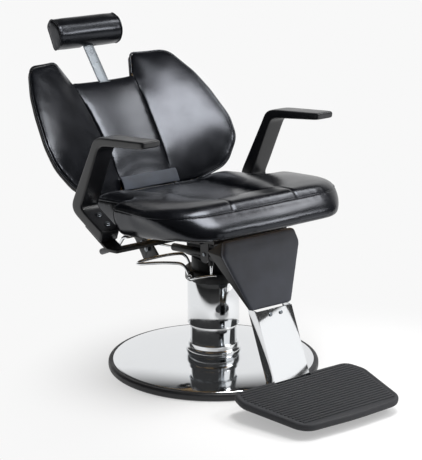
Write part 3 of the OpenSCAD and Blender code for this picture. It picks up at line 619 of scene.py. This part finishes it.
def tube(name, path, radius, closed=False, sides=3):
    """A round bar, wire or piping along a path in metres."""
    curve = bpy.data.curves.new(name, "CURVE")
    curve.dimensions = "3D"
    curve.bevel_depth = radius * MM
    curve.bevel_resolution = sides
    curve.use_fill_caps = True
    spline = curve.splines.new("POLY")
    spline.points.add(len(path) - 1)
    spline.points.foreach_set("co", np.hstack([path, np.ones((len(path), 1))]).ravel())
    spline.use_cyclic_u = closed
    new_piece(name, curve)
    bpy.ops.object.convert(target="MESH")
    piece = bpy.context.object
    shade(piece, 50)
    return piece


def piping(name, path, radius, body, closed=False):
    hand_over(tube(name, path, radius, closed), body, "black_vinyl")


def cut_away(piece, points, faces):
    """Cuts a slot with a closed block of the given corners, in metres."""
    cutter = from_points("cutter", points, faces)
    edit(cutter, FACES_OUT)
    apply_modifier(piece, "BOOLEAN", operation="DIFFERENCE", object=cutter, solver="EXACT")
    bpy.data.objects.remove(cutter)


def finish_padding(piece, body, fill, *nodes, slot="black_vinyl"):
    shade(piece)
    hand_over(piece, body, slot, *nodes)
    print(piece.name, "has", len(piece.data.polygons), "faces")


print("padding helpers ready")

# %% [markdown]
# The seat is one wide cushion in the shape of a blunt T: broad between the armrests and narrow where the backrest
# stands. Two firm bolsters run along its sides, a softer panel lies sunk between them, and the front roll closes it.
# Its top and its side band are sewn together over a piping. The top is drawn as a height over the plan, so the roll,
# the bolsters and the panel meet in one clean seam.

# %% Seat cushion
seam_half = [[0, -248, 900], [330, -239, 140], [315, -44, 320], [307, 57, 32], [237, 54, 22], [233, 280, 66],
             [0, 283, 900]]
under_half = [[0, -284, 900], [236, -275, 82], [280, -110, 320], [290, 42, 28], [228, 50, 22], [222, 276, 58],
             [0, 279, 900]]
seam_outline, under_outline = even(rounded(mirrored(seam_half), 8), 9, True, rounded(mirrored(under_half), 8))
SEAT_MIDDLE = np.array([0.0, -20.0])
BOLSTER, ROLL_WIDTH = 21, 34


def band_height(y):
    """The piped seam falls a little in front of the middle."""
    return 77 + 0.05 * np.minimum(0, y)


def seam_x(y):
    """Half the width of the sunk panel: the line of the inner seam, from the back of the seat to its front."""
    return np.interp(y, [-290, -270, -225, -170, -100, 0, 100, 187, 283], [117, 114, 108, 103, 101, 104, 116, 132, 150])


def top_height(x, y, inside):
    """Height of the top over the seat's board, for a point that lies so far inside the piped seam."""
    edge = 1 - (1 - np.clip(inside / 38, 0, 1)) ** 2.7
    crown = 19 + 5 * smooth((-y - 60) / 120) * (1 - (x / 330) ** 2) - 17 * smooth((y - 190) / 90)
    sunk = BOLSTER * (1 - smooth((-y - 75) / 110)) * (1 - 0.6 * smooth((y - 205) / 90))
    out = (np.abs(x) - seam_x(y)) / 40
    wall = 1 - np.sqrt(np.clip(1 - (1 - np.clip(out, 0, 1)) ** 2, 0, 1))
    wall = np.where(out > 0, wall, 1 - 0.14 * (1 - (x / seam_x(y)) ** 2))
    return band_height(y) + edge * crown - wall * sunk


def band_ring(t, out, height):
    p = under_outline * (1 - t) + seam_outline * t
    away = np.linalg.norm(p - SEAT_MIDDLE, axis=1)[:, None]
    fuller = 0.6 * max(0, out) * smooth((-p[:, 1:] - 190) / 70) * smooth((250 - np.abs(p[:, :1])) / 90)
    p = SEAT_MIDDLE + (p - SEAT_MIDDLE) * (away + out + fuller) / away
    return raised(p, height * band_height(p[:, 1]))


seat_rings = [band_ring(0, -30, 0.15), band_ring(0, -30, 0), band_ring(0, -7, 0), band_ring(0, -1.5, 0.02)]
seat_rings += [band_ring(t, 12 * math.sin(math.pi * min(1, t) ** 0.75) ** 0.8 + 0.5, 0.04 + 0.96 * t)
               for t in (0.03, 0.1, 0.2, 0.32, 0.45, 0.6, 0.75, 0.88, 0.96, 0.999)]
for inside in (1.5, 4, 8, 13, 19, 26, ROLL_WIDTH):
    ring = drawn_in(seam_outline, SEAT_MIDDLE, inside)
    seat_rings.append(raised(ring, top_height(*ring.T, inside)))
reach = np.linalg.norm(seam_outline - SEAT_MIDDLE, axis=1)
inner = (1 - ROLL_WIDTH / reach)[:, None]
for share in np.linspace(1, 0.02, 34)[1:]:
    ring = SEAT_MIDDLE + (seam_outline - SEAT_MIDDLE) * (inner * share)
    seat_rings.append(raised(ring, top_height(*ring.T, ROLL_WIDTH + reach * (1 - share))))
seat_padding = ringed("seat_padding", [on_seat(r) for r in seat_rings])
even_skin(seat_padding, 6, 6)
q = seat_view(seat_padding)
inside = nearest(q * [MM, MM, 0], raised(even(seam_outline, 2), 0) * MM)[0]
top = smooth((seat_facing(seat_padding) - 0.2) / 0.3) * smooth((q[:, 2] - band_height(q[:, 1]) + 3) / 4)
q[:, 2] += top * (top_height(*q.T[:2], inside) - q[:, 2])
move_to(seat_padding, on_seat(q))
relax(seat_padding, 3)

steps_y = np.arange(283, -246, -3)
inner_seams = [on_seat(np.column_stack([side * seam_x(steps_y), steps_y,
                                        top_height(seam_x(steps_y), steps_y, np.minimum(100, steps_y + 248))]))
               for side in (-1, 1)]
outer_seam = on_seat(raised(seam_outline, band_height(seam_outline[:, 1])))
co = places(seat_padding)
held = 1 - smooth((seat_view(seat_padding)[:, 2] - 4) / 20)
for line in inner_seams + [looped(outer_seam)]:
    held = np.maximum(held, near(co, line, 5, 10))
blow_up(seat_padding, held, 7)
relax(seat_padding, 5)
refine(seat_padding)
for line in inner_seams:
    press_seam(seat_padding, on_skin(seat_padding, line), 3.0, 4.0, 0.1)
outer_seam = on_skin(seat_padding, outer_seam)
press_seam(seat_padding, looped(outer_seam), 1.6, 3.4, 0.15)
finish_padding(seat_padding, "seat", 0.8, "seat_cushion")
piping("seat_piping", on_skin(seat_padding, outer_seam, -0.6), 2.0, "seat", True)

# %% [markdown]
# The backrest is a butterfly: a plain middle panel between two wings that curl forward round the sitter. The three
# pads butt together in two curved seams. A free edge rolls far back to its piping, a sewn edge dips only a little.
# Each pad is its own closed form, so the seams stay deep and dark as on the real one.

# %% Backrest outlines
wing_corners = [[92, -40, 10], [175, -46, 120], [268, -27, 70], [319, 40, 80], [325, 110, 160], [307, 215, 260],
                [288, 285, 200], [244, 384, 55], [136, 404, 14], [110, 331, 10]]
WING_MIDDLE, PANE_MIDDLE = np.array([200.0, 165.0]), np.array([0.0, 150.0])
PAD_DEPTH = 28


def curl(u):
    """How far the wings reach forward, at a distance across from the middle."""
    return 60 * (np.maximum(0, np.abs(u) - 95) / 200) ** 1.85


def seam_u(v):
    return 92 + 18 * (np.maximum(0, v) / 325) ** 2


seam_down = [[seam_u(v), v] for v in (300, 240, 180, 120, 60, 0)]
wing_raw = [p for p in rounded(wing_corners + [[100, 150, 5]], 8)
            if (p[1] < 0 and p[0] > 95) or p[0] > 118 or p[1] > 326]
wing_outline = even(np.array(wing_raw + seam_down), 8)
pane_outline = even(np.array(
    [[seam_u(v), v] for v in (-36, 0, 60, 120, 180, 240, 300)]
    + [[u, 330 - 4 * (1 - (u / 110) ** 2)] for u in (109, 90, 60, 20, -20, -60, -90, -109)]
    + [[-seam_u(v), v] for v in (300, 240, 180, 120, 60, 0, -36)]
    + [[u, -42] for u in (-88, -50, 0, 50, 88)]), 8)


def sewn(outline):
    """1 where the outline runs along a seam, 0 at a free edge, with a soft change between."""
    u, v = outline.T
    hard = (np.abs(np.abs(u) - seam_u(v)) < 3) & (v > -38) & (v < 329)
    soft = hard.astype(float)
    for _ in range(4):
        soft = (np.roll(soft, 1) + soft + np.roll(soft, -1)) / 3
    return np.where(hard, np.maximum(soft, 0.6), soft)


def roll(away, radius, depth):
    """How far a surface has rolled back at this distance from its edge."""
    t = 1 - np.clip(away / radius, 0, 1)
    return depth * (1 - np.sqrt(1 - t ** 2))


def pad_form(name, outline, middle, side):
    """A pad between the back plane and its crowned front."""
    reach = np.linalg.norm(outline - middle, axis=1)
    seamed = sewn(outline)

    def ring(inside):
        q = drawn_in(outline, middle, inside)
        return on_back(raised(q, curl(q[:, 0]) - roll(inside, 60 - 44 * seamed, 25 - 19 * seamed), side))

    def behind(share):
        q = middle + (outline - middle) * share
        return on_back(raised(q, curl(q[:, 0]) - PAD_DEPTH, side))

    rings = [behind(s) for s in (0.1, 0.4, 0.7, 0.9, 1)]
    rings += [ring(np.full(len(outline), float(d))) for d in (0, 1, 3, 6, 10, 15, 21, 28, 37, 48, 60)]
    rings += [ring(60 + (reach - 60) * s) for s in (0.25, 0.5, 0.75, 0.97)]
    return ringed(name, rings)


def redraw_front(pad, outline, side):
    """Puts the front of a pad on one smooth surface, by its true distance from the free edge and from the seam."""
    q = back_view(pad)
    fine = even(outline, 2)
    line = raised(fine, 0, side) * MM
    seamed = sewn(fine) > 0.5
    free = nearest(q * [MM, MM, 0], line[~seamed])[0]
    at_seam = nearest(q * [MM, MM, 0], line[seamed])[0]
    edge = (roll(free, 36, 12) ** 3 + roll(at_seam, 14, 5) ** 3) ** (1 / 3)
    crown = 13 * (1 - np.clip(free / 125, 0, 1)) ** 2 + 5 * (1 - np.clip(at_seam / 90, 0, 1)) ** 2
    edge = neighbours_mean(pad, np.column_stack([edge] * 3), 3)[:, 0]
    crown = neighbours_mean(pad, np.column_stack([crown] * 3), 60)[:, 0]
    height = curl(q[:, 0]) - edge - crown
    front = smooth((back_facing(pad) - 0.15) / 0.3) * smooth((q[:, 2] - curl(q[:, 0]) + 25) / 4)
    q[:, 2] += front * (height - q[:, 2])
    move_to(pad, on_back(q))


def seam_line(side):
    v = np.arange(-34, 327, 4.0)
    return on_back(raised(np.column_stack([seam_u(v), v]), -4, side))


print("wing outline", len(wing_outline), "points, pane outline", len(pane_outline))

# %% Backrest pads
def back_pad(name, outline, middle, side, most):
    pad = pad_form(name, outline, middle, side)
    even_skin(pad, 5.5, 4)
    redraw_front(pad, outline, side)
    relax(pad, 4)
    q = back_view(pad)
    held = 1 - smooth((q[:, 2] - curl(q[:, 0]) + 27) / 7)
    for s in (-1, 1):
        held = np.maximum(held, near(places(pad), seam_line(s), 8, 14))
    blow_up(pad, held, most)
    relax(pad, 5)
    refine(pad)
    return pad


for side, hand in ((-1, "right"), (1, "left")):
    wing = back_pad("wing_" + hand, wing_outline, WING_MIDDLE, side, 7)
    press_seam(wing, seam_line(side), 0.8, 5.0, 0.12)
    finish_padding(wing, "backrest", 0.8)
    u, v = wing_outline.T
    free = wing_outline[(u > seam_u(v) + 4) | (v > 332) | (v < -38)]
    start = int(np.argmax(np.diff(stations(looped(free))))) + 1
    free = np.roll(free, -start, axis=0)
    grown = WING_MIDDLE + (free - WING_MIDDLE) * 1.006
    lip = on_back(raised(grown, curl(grown[:, 0]) - 26.5, side))
    piping("wing_piping_" + hand, lip, 3.2, "backrest")

middle_pad = back_pad("middle_panel", pane_outline, PANE_MIDDLE, 1, 6)
for side in (-1, 1):
    press_seam(middle_pad, seam_line(side), 0.8, 5.0, 0.12)
crease_u = np.arange(-86, 87, 2.0)
crease = on_back(raised(np.column_stack([crease_u, 46 - 0.0035 * crease_u ** 2]), 0))
press_seam(middle_pad, on_skin(middle_pad, crease), 0.9, 17.0)
slot_corners = on_back([[u, v, w] for u in (-20, 20) for v in (118, 420) for w in (-60, -13.5)])
cut_away(middle_pad, slot_corners, BOX_FACES)
finish_padding(middle_pad, "backrest", 0.8, "back_cushion")

# %% [markdown]
# The shell behind the pads is one curved sheet of ABS, and the board between them is bent plywood. Both are copies of
# the engineering parts, with their edges broken.

# %% Shell and board of the backrest
for node in ("back_shell", "back_board"):
    dress(node, 0.8, 40)

# %% [markdown]
# The headrest pillow has the section of a fat D. Its ends are flat caps, sewn in with a piping that stands proud of
# the skin, and a slot at its back lets the bracket tilt.

# %% Headrest pillow
PILLOW_HALF = 111
pillow_section = even(rounded([[633, 826, 5], [606, 840, 26], [590, 872, 30], [610, 910, 32], [652, 924, 16],
                               [674, 898, 12]], 8), 5)
pillow_core = np.array([636.0, 874.0])


def pillow_ring(along, share):
    p = pillow_core + (pillow_section - pillow_core) * share
    return np.column_stack([np.full(len(p), along), p]) * MM


cap = ((2, 0.25), (1.5, 0.7), (0, 0.93))
pillow_rings = [pillow_ring(-PILLOW_HALF - past, share) for past, share in cap]
pillow_rings += [pillow_ring(x, 1 - 0.035 * smooth((abs(x) - 70) / 40) * (abs(x) < 108))
                 for x in np.linspace(-109, 109, 34)]
pillow_rings += [pillow_ring(PILLOW_HALF + past, share) for past, share in reversed(cap)]
pillow_padding = ringed("pillow_padding", pillow_rings)
even_skin(pillow_padding, 4, 4)
co = places(pillow_padding) / MM
end_share = 1 - smooth((PILLOW_HALF - np.abs(co[:, 0])) / 9)
back_share = smooth((co[:, 1] - 0.569 * co[:, 2] - 152) / 6)
blow_up(pillow_padding, np.maximum(end_share, back_share), 5)
relax(pillow_padding, 8)
refine(pillow_padding)
for side in (-1, 1):
    rim = pillow_ring(side * 108.5, 1.0)
    press_seam(pillow_padding, on_skin(pillow_padding, looped(rim)), 1.2, 3.5, 0.3)
    rim = on_skin(pillow_padding, pillow_ring(side * 109.5, 1.0), -0.8)
    piping("pillow_piping_" + ("right", "left")[side > 0], rim, 2.6, "headrest", True)
section = [[612.5, 838], [612.5, 853], [646, 876], [700, 890], [700, 800], [600, 800], [604, 824]]
corners = [[x * MM, y * MM, z * MM] for x in (-24, 24) for y, z in section]
sides = [(i, (i + 1) % 7, (i + 1) % 7 + 7, i + 7) for i in range(7)]
cut_away(pillow_padding, corners, [tuple(range(7)), tuple(range(13, 6, -1))] + sides)
finish_padding(pillow_padding, "headrest", 0.85, "pillow")

# %% [markdown]
# The calf pad is a thin foam panel on the front of the legrest, and the box behind it is a plastic moulding. The pad
# stands a few millimetres proud of the box and is drawn tight over its edges.

# %% Calf pad and its box
CALF_SLOPE = math.tan(math.radians(15.6))
calf_outline = even(rounded([[70, 240, 8], [132, 392, 14], [121, 430, 8], [-121, 430, 8], [-132, 392, 14],
                             [-70, 240, 8]], 6), 7)
CALF_MIDDLE = np.array([0.0, 345.0])


def calf_front(z):
    """How far back the pad's sloping front lies at a height."""
    return -209 - (430 - z) * CALF_SLOPE


def calf_ring(inside, depth):
    q = drawn_in(calf_outline, CALF_MIDDLE, inside)
    thick = 9 + 8.5 * np.minimum(1, (q[:, 1] - 240) / 151)
    behind = thick if depth is None else np.full(len(q), depth)
    return np.column_stack([q[:, 0], calf_front(q[:, 1]) + behind, q[:, 1]]) * MM


calf_rings = [calf_ring(i, None) for i in (80, 40, 1)] + [calf_ring(0, 7.5), calf_ring(0, 5), calf_ring(1, 3.4)]
calf_rings += [calf_ring(i, d) for i, d in ((3, 2.2), (6, 1.4), (12, 0.7), (22, 0.3), (40, 0), (60, 0), (85, 0))]
calf_padding = ringed("calf_padding", calf_rings)
even_skin(calf_padding, 4, 2)
co = places(calf_padding) / MM
front = calf_front(co[:, 2])
rim_share = near(co * MM, calf_ring(0, 6), 6, 12)
blow_up(calf_padding, np.maximum(smooth((co[:, 1] - front - 3) / 3), rim_share), 4)
refine(calf_padding)
finish_padding(calf_padding, "legrest", 0.9, "calf_pad", slot="calf_vinyl")
dress("calf_box", 2.0, 30)

# %% [markdown]
# The flap covers the gap between the seat and the backrest. It is a doubled piece of cloth, sewn across the lower end
# of the middle panel and resting on the seat. It is drawn as a wavy strip and given its thickness afterwards.

# %% Flap
flap_profile = flowing([[312.6, 503.5], [307.5, 498.6], [300.5, 488.4], [294.6, 478.4], [290.4, 468.2]], 3.5)
COLUMNS = 57
flap_points = []
for i, (y, z) in enumerate(flap_profile):
    hang = i / (len(flap_profile) - 1)
    for x in np.linspace(-98, 98, COLUMNS):
        wave = math.sin(x / 23 + 0.7) + 0.6 * math.sin(x / 11.5 + 2.1)
        shift = np.array([1.5 * math.sin(x / 40), -0.9 * wave, 0.8 * wave]) * hang
        flap_points.append((np.array([x, y, z]) + shift) * MM)
flap_faces = [(a, a + COLUMNS, a + COLUMNS + 1, a + 1)
              for i in range(len(flap_profile) - 1) for a in range(i * COLUMNS, (i + 1) * COLUMNS - 1)]
flap_cloth = from_points("flap_cloth", flap_points, flap_faces)
apply_modifier(flap_cloth, "SOLIDIFY", thickness=2.4 * MM, offset=-1, use_even_offset=True)
refine(flap_cloth)
shade(flap_cloth)
flap_cloth.data.materials.append(finishes["flap_vinyl"])
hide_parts("flap")
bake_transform(flap_cloth)
print("flap", len(flap_cloth.data.polygons), "faces")

# %% [markdown]
# Each armrest is one moulding: a flat pad to rest on, an elbow, and a foot that is screwed to the carrier under the
# seat. The engineering part is already lofted along that line, so a copy of it is turned back into four-sided faces
# and subdivided, which rounds its edges as the mould does.

# %% Armrests
for hand in ("left", "right"):
    node = "armrest_" + hand
    piece = copy_part(node, "armrest_moulded_" + hand, (
        "tris_convert_to_quads", {"face_threshold": math.radians(60), "shape_threshold": math.radians(100)}))
    refine(piece, 2)
    shade(piece)
    hand_over(piece, "seat", "arm_foam", node)
    print(piece.name, len(piece.data.polygons), "faces")

# %% [markdown]
# The pedal is one length of 9 mm chromed wire, bent into a loop and welded to two hubs, with a shorter wire from the
# near hub to the pump's plunger. Wire is a curve with a round section, drawn through the bends of the real part.

# %% Pedal
PEDAL_TURN = math.radians(141.9)
PEDAL_X, PEDAL_Z = 66, 278


def beside_pump(points):
    """From the pedal's own view, out from the column, to the chair."""
    p = np.asarray(points, float)
    x = p[..., 0] * math.cos(PEDAL_TURN) - p[..., 1] * math.sin(PEDAL_TURN)
    y = p[..., 0] * math.sin(PEDAL_TURN) + p[..., 1] * math.cos(PEDAL_TURN)
    return np.stack([x, y, p[..., 2]], -1) * MM


half = [[3, 52, 6], [9, 52, 20], [17, 51, 31], [28, 49, 36], [50, 43, 36], [76, 35, 34], [104, 26, 30], [128, 18, 26],
        [142, 11, 23]]
loop = half + [[148, 0, 21]] + [[x, -y, z] for x, y, z in reversed(half)]
crank = [[-3, 54, -6], [-8, 66, -4], [-20, 79, 3], [-38, 86, 9], [-61, 88, 13], [-75, 88, 13.3]]
pedal_parts = []
for name, points, radius in (("pedal_loop", loop, 4.5), ("pedal_crank", crank, 4.0)):
    path = flowing(beside_pump([[x + PEDAL_X, y, z + PEDAL_Z] for x, y, z in points]), 3 * MM)
    pedal_parts.append(tube(name, path, radius, sides=4))
for side in (-1, 1):
    pick(pedal_parts[0])
    bpy.ops.mesh.primitive_cylinder_add(vertices=40, radius=8 * MM, depth=11.5 * MM)
    hub = bpy.context.object
    hub.name = "pedal_hub"
    bpy.ops.object.mode_set(mode="EDIT")
    bpy.ops.mesh.select_all(action="DESELECT")
    hub_mesh = bmesh.from_edit_mesh(hub.data)
    for face in hub_mesh.faces:
        face.select_set(abs(face.normal.z) > 0.9)
    bmesh.update_edit_mesh(hub.data)
    bpy.ops.mesh.inset(thickness=2.9 * MM)
    bpy.ops.mesh.bridge_edge_loops()
    bpy.ops.object.mode_set(mode="OBJECT")
    turn = Matrix.Rotation(PEDAL_TURN, 4, "Z") @ Matrix.Translation(Vector((PEDAL_X, side * 52.25, PEDAL_Z)) * MM)
    hub.data.transform(turn @ Matrix.Rotation(math.radians(90), 4, "X"))
    break_edges(hub, 0.6)
    shade(hub, 35)
    pedal_parts.append(hub)
pedal_wire = join(pedal_parts)
pedal_wire.name = "pedal_wire"
hand_over(pedal_wire, "pedal", "chrome", "pedal")
print("pedal", len(pedal_wire.data.polygons), "faces")

# %% [markdown]
# The recline lever is a chromed rod that runs out under the seat and turns down to a grey plastic grip. Both are copies
# with their edges broken.

# %% Recline lever and grip
dress("recline_lever", 0.4, 50)
dress("lever_grip", 1.6)

# %% [markdown]
# The foot plate is a steel plate inside a thick rubber pressing. A press mould can't have sharp corners, so its edge
# is fully rounded: one ring of points is drawn round the outline and repeated at each height. The ribs are one bar,
# copied across, and a slot and a pocket underneath take the carrier.

# %% Foot plate
foot_half = [[0, -2, 900], [200, 2, 30], [217, 60, 66], [170, 264, 50], [0, 273, 900]]
foot_outline = even(rounded(mirrored(foot_half), 12), 5)
FOOT_MIDDLE = np.array([0.0, 130.0])
RIB_STEP, RIB_WIDTH = 12, 5


def foot_ring(inside, height):
    """The outline is drawn to the front, and the board's own y points back."""
    return on_foot(raised(drawn_in(foot_outline, FOOT_MIDDLE, inside) * [1, -1], height))


quarter = np.radians(np.linspace(0, 90, 6))
foot_rings = [foot_ring(60, -20)] + [foot_ring(8 * (1 - math.sin(a)), -20 + 8 * (1 - math.cos(a))) for a in quarter]
foot_rings += [foot_ring(6.5 * (1 - math.cos(a)), -6 + 6.5 * math.sin(a)) for a in quarter]
foot_rings += [foot_ring(10.5, 0.5), foot_ring(12, -0.6), foot_ring(13, -0.9), foot_ring(60, -0.9)]
foot_rubber = ringed("foot_rubber", foot_rings)


def block(x, y, z):
    """The corners and faces of a box on the foot plate."""
    return on_foot([[a, -b, c] for a in x for b in y for c in z]), BOX_FACES


cut_away(foot_rubber, *block((-62.5, 62.5), (-20, 17), (-30, 10)))
cut_away(foot_rubber, *block((-80, 80), (4, 204), (-30, -15.2)))
pieces = [foot_rubber]
for y in range(10, 245, RIB_STEP):
    half_width = float(np.interp(y, [0, 50, 238, 250], [181, 198, 157, 150]))
    for left, right in (((-half_width, -66), (66, half_width)) if y < 17 else ((-half_width, half_width),)):
        rib = from_points("rib", *block((left, right), (y, y + RIB_WIDTH), (-2, 1.5)))
        break_edges(rib, 1.2)
        pieces.append(rib)
join(pieces)
edit(foot_rubber, FACES_OUT)
shade(foot_rubber, 38)
hand_over(foot_rubber, "legrest", "foot_rubber", "footplate")
print("foot plate", len(foot_rubber.data.polygons), "faces")

# %% [markdown]
# The dome over the base plate is spun from sheet steel on a lathe. It is almost flat round the column and steeper
# towards its lip, which sits on the rubber ring. A profile turned by the Screw modifier makes the same form.

# %% Base
RIM, HOLE, SHEET = 285, 72, 1.6


def sweep_up(r):
    """Height of the dome at a radius, in mm."""
    return 23.5 + 12 * (1 - (r / RIM) ** 4) + 3 * math.exp((76 - r) / 12)


radii = [RIM - (RIM - HOLE) * i / 60 for i in range(61)]
profile = [(RIM, 19), (286.4, 20.6), (286.2, 22.4)] + [(r, sweep_up(r)) for r in radii]
profile += [(r, sweep_up(r) - SHEET) for r in reversed(radii)]
dome = from_points("spun_dome", [(r * MM, 0, z * MM) for r, z in profile], [],
                   [(i, (i + 1) % len(profile)) for i in range(len(profile))])
apply_modifier(dome, "SCREW", steps=160, render_steps=160, use_merge_vertices=True, use_smooth_shade=True)
edit(dome, merge(0.00001), FACES_OUT)
shade(dome, 35)
hand_over(dome, "base", "chrome", "base_cover")
print("dome", len(dome.data.polygons), "faces")

# %% [markdown]
# The chair stands in a studio: a white paper sweep goes under and behind it, and the near half of the room is dark.
# Polished parts show both, which gives chrome its dark stripes and vinyl its depth. The camera sees the paper's own
# tone wherever it looks, so no lamp is needed to bleach it, and near the chair the floor keeps its shadows.

# %% Floor
PAPER = "#f8f8f8"
AWAY = (0.607, 0.794, 0.0)


def reckon(operation, first, second, clamp=False):
    """A sum, difference or product of two sources, or of a number and a source."""
    numbers = {"input_0": first} if isinstance(first, float) else {}
    links = {1: second} if numbers else {0: first, 1: second}
    return add(second.id_data, "Math", links, operation=operation, use_clamp=clamp, **numbers).outputs[0]


def ray_kinds(tree):
    """Whether a ray comes straight from the camera, and whether from a mirror."""
    path = add(tree, "LightPath").outputs
    return path["Is Camera Ray"], reckon("ADD", path["Is Glossy Ray"], path["Is Transmission Ray"], True)


def measured(place, operation, vector):
    return add(place.id_data, "VectorMath", {0: place}, operation=operation, input_1=vector).outputs["Value"]


pick(camera)
bpy.ops.mesh.primitive_plane_add(size=24, location=(0, 0, -0.0004))
floor = bpy.context.object
floor.name = "floor"
bpy.ops.object.transform_apply(location=True)
material = bpy.data.materials.new("paper_sweep")
paper = blank(material)
direct, mirror = ray_kinds(paper)
seen = reckon("ADD", direct, mirror, True)
place = add(paper, "TexCoord").outputs["Object"]
apart = measured(place, "DISTANCE", (0.05, -0.32, 0.0))
far = spread(apart, 0.3, 0.85, 0.4, 1.0, interpolation_type="SMOOTHSTEP")
sweep = spread(measured(place, "DOT_PRODUCT", AWAY), -0.8, -0.45, 0.0, 1.0)
dark = reckon("MULTIPLY", reckon("SUBTRACT", 1.0, sweep), mirror)
lit = reckon("MULTIPLY", seen, far)
share = reckon("MULTIPLY", lit, reckon("SUBTRACT", 1.0, dark))
plain = add(paper, "BsdfDiffuse", {"Color": blend_tones(dark, "#f2f2f2", "#3a3a3a")})
glow = add(paper, "Emission", Color=tone(PAPER), Strength=1.0)
both = add(paper, "MixShader", {0: share, 1: plain.outputs[0], 2: glow.outputs[0]})
add(paper, "OutputMaterial", {"Surface": both.outputs[0]})
floor.data.materials.append(material)
print("floor", floor.name)

# %% World
world = bpy.data.worlds.new("studio")
scene.world = world
sky = blank(world)
direct, mirror = ray_kinds(sky)
towards = add(sky, "TexCoord").outputs["Generated"]
wall = spread(measured(towards, "DOT_PRODUCT", AWAY), 0.62, 0.8, 0.0, 1.0)
height = add(sky, "SeparateXYZ", {0: towards}).outputs["Z"]
white = reckon("MULTIPLY", wall, spread(height, 0.42, 0.6, 1.0, 0.0))
shown = spread(white, 0.0, 1.0, 0.05, 1.0)
strength = add(sky, "Mix", {"Factor": mirror, 3: shown}, data_type="FLOAT", input_2=0.4).outputs[0]
strength = add(sky, "Mix", {"Factor": direct, 2: strength}, data_type="FLOAT", input_3=1.0)
light = add(sky, "Background", {"Strength": strength.outputs[0]}, Color=tone(PAPER))
add(sky, "OutputWorld", {"Surface": light.outputs[0]})
print("world", world.name)

# %% [markdown]
# Five softboxes light it: a bright wide key over the sitter's knees, a window on the left of the chair with a
# weaker lamp beside it, a white card low in front for the chrome, and a lamp that draws the line along the pillow.
# Each is aimed by the direction in which the backrest sees it, because a glossy surface shows a lamp only there.

# %% Lamps
SEEN_FROM = Vector((0.1, 0.42, 0.75))
# Each has its turn and its height in degrees as the backrest sees it, its distance, width and height in metres, and the
# strength with which its whole face shines.
SOFTBOXES = {"key": (-80, 60, 2.4, 1.3, 0.8, 17), "window": (-21, 46, 3.0, 1.0, 0.65, 9.5),
             "beside": (-44, 60, 2.8, 0.9, 0.5, 1.5), "card": (-72, -10, 1.57, 1.15, 0.75, 1.1),
             "line": (-55, 27, 2.8, 0.8, 0.55, 13)}
for name, (turn, height, distance, width, tall, radiance) in SOFTBOXES.items():
    data = bpy.data.lights.new(name, "AREA")
    data.shape, data.size, data.size_y = "RECTANGLE", width, tall
    data.energy = radiance * width * tall * math.pi
    lamp = new_piece(name, data)
    turn, height = math.radians(turn), math.radians(height)
    towards = Vector((math.cos(height) * math.cos(turn), math.cos(height) * math.sin(turn), math.sin(height)))
    lamp.location = SEEN_FROM + towards * distance
    lamp.rotation_euler = towards.to_track_quat("Z", "Y").to_euler()
    lamp.visible_camera = False
scene.view_settings.view_transform = "Standard"
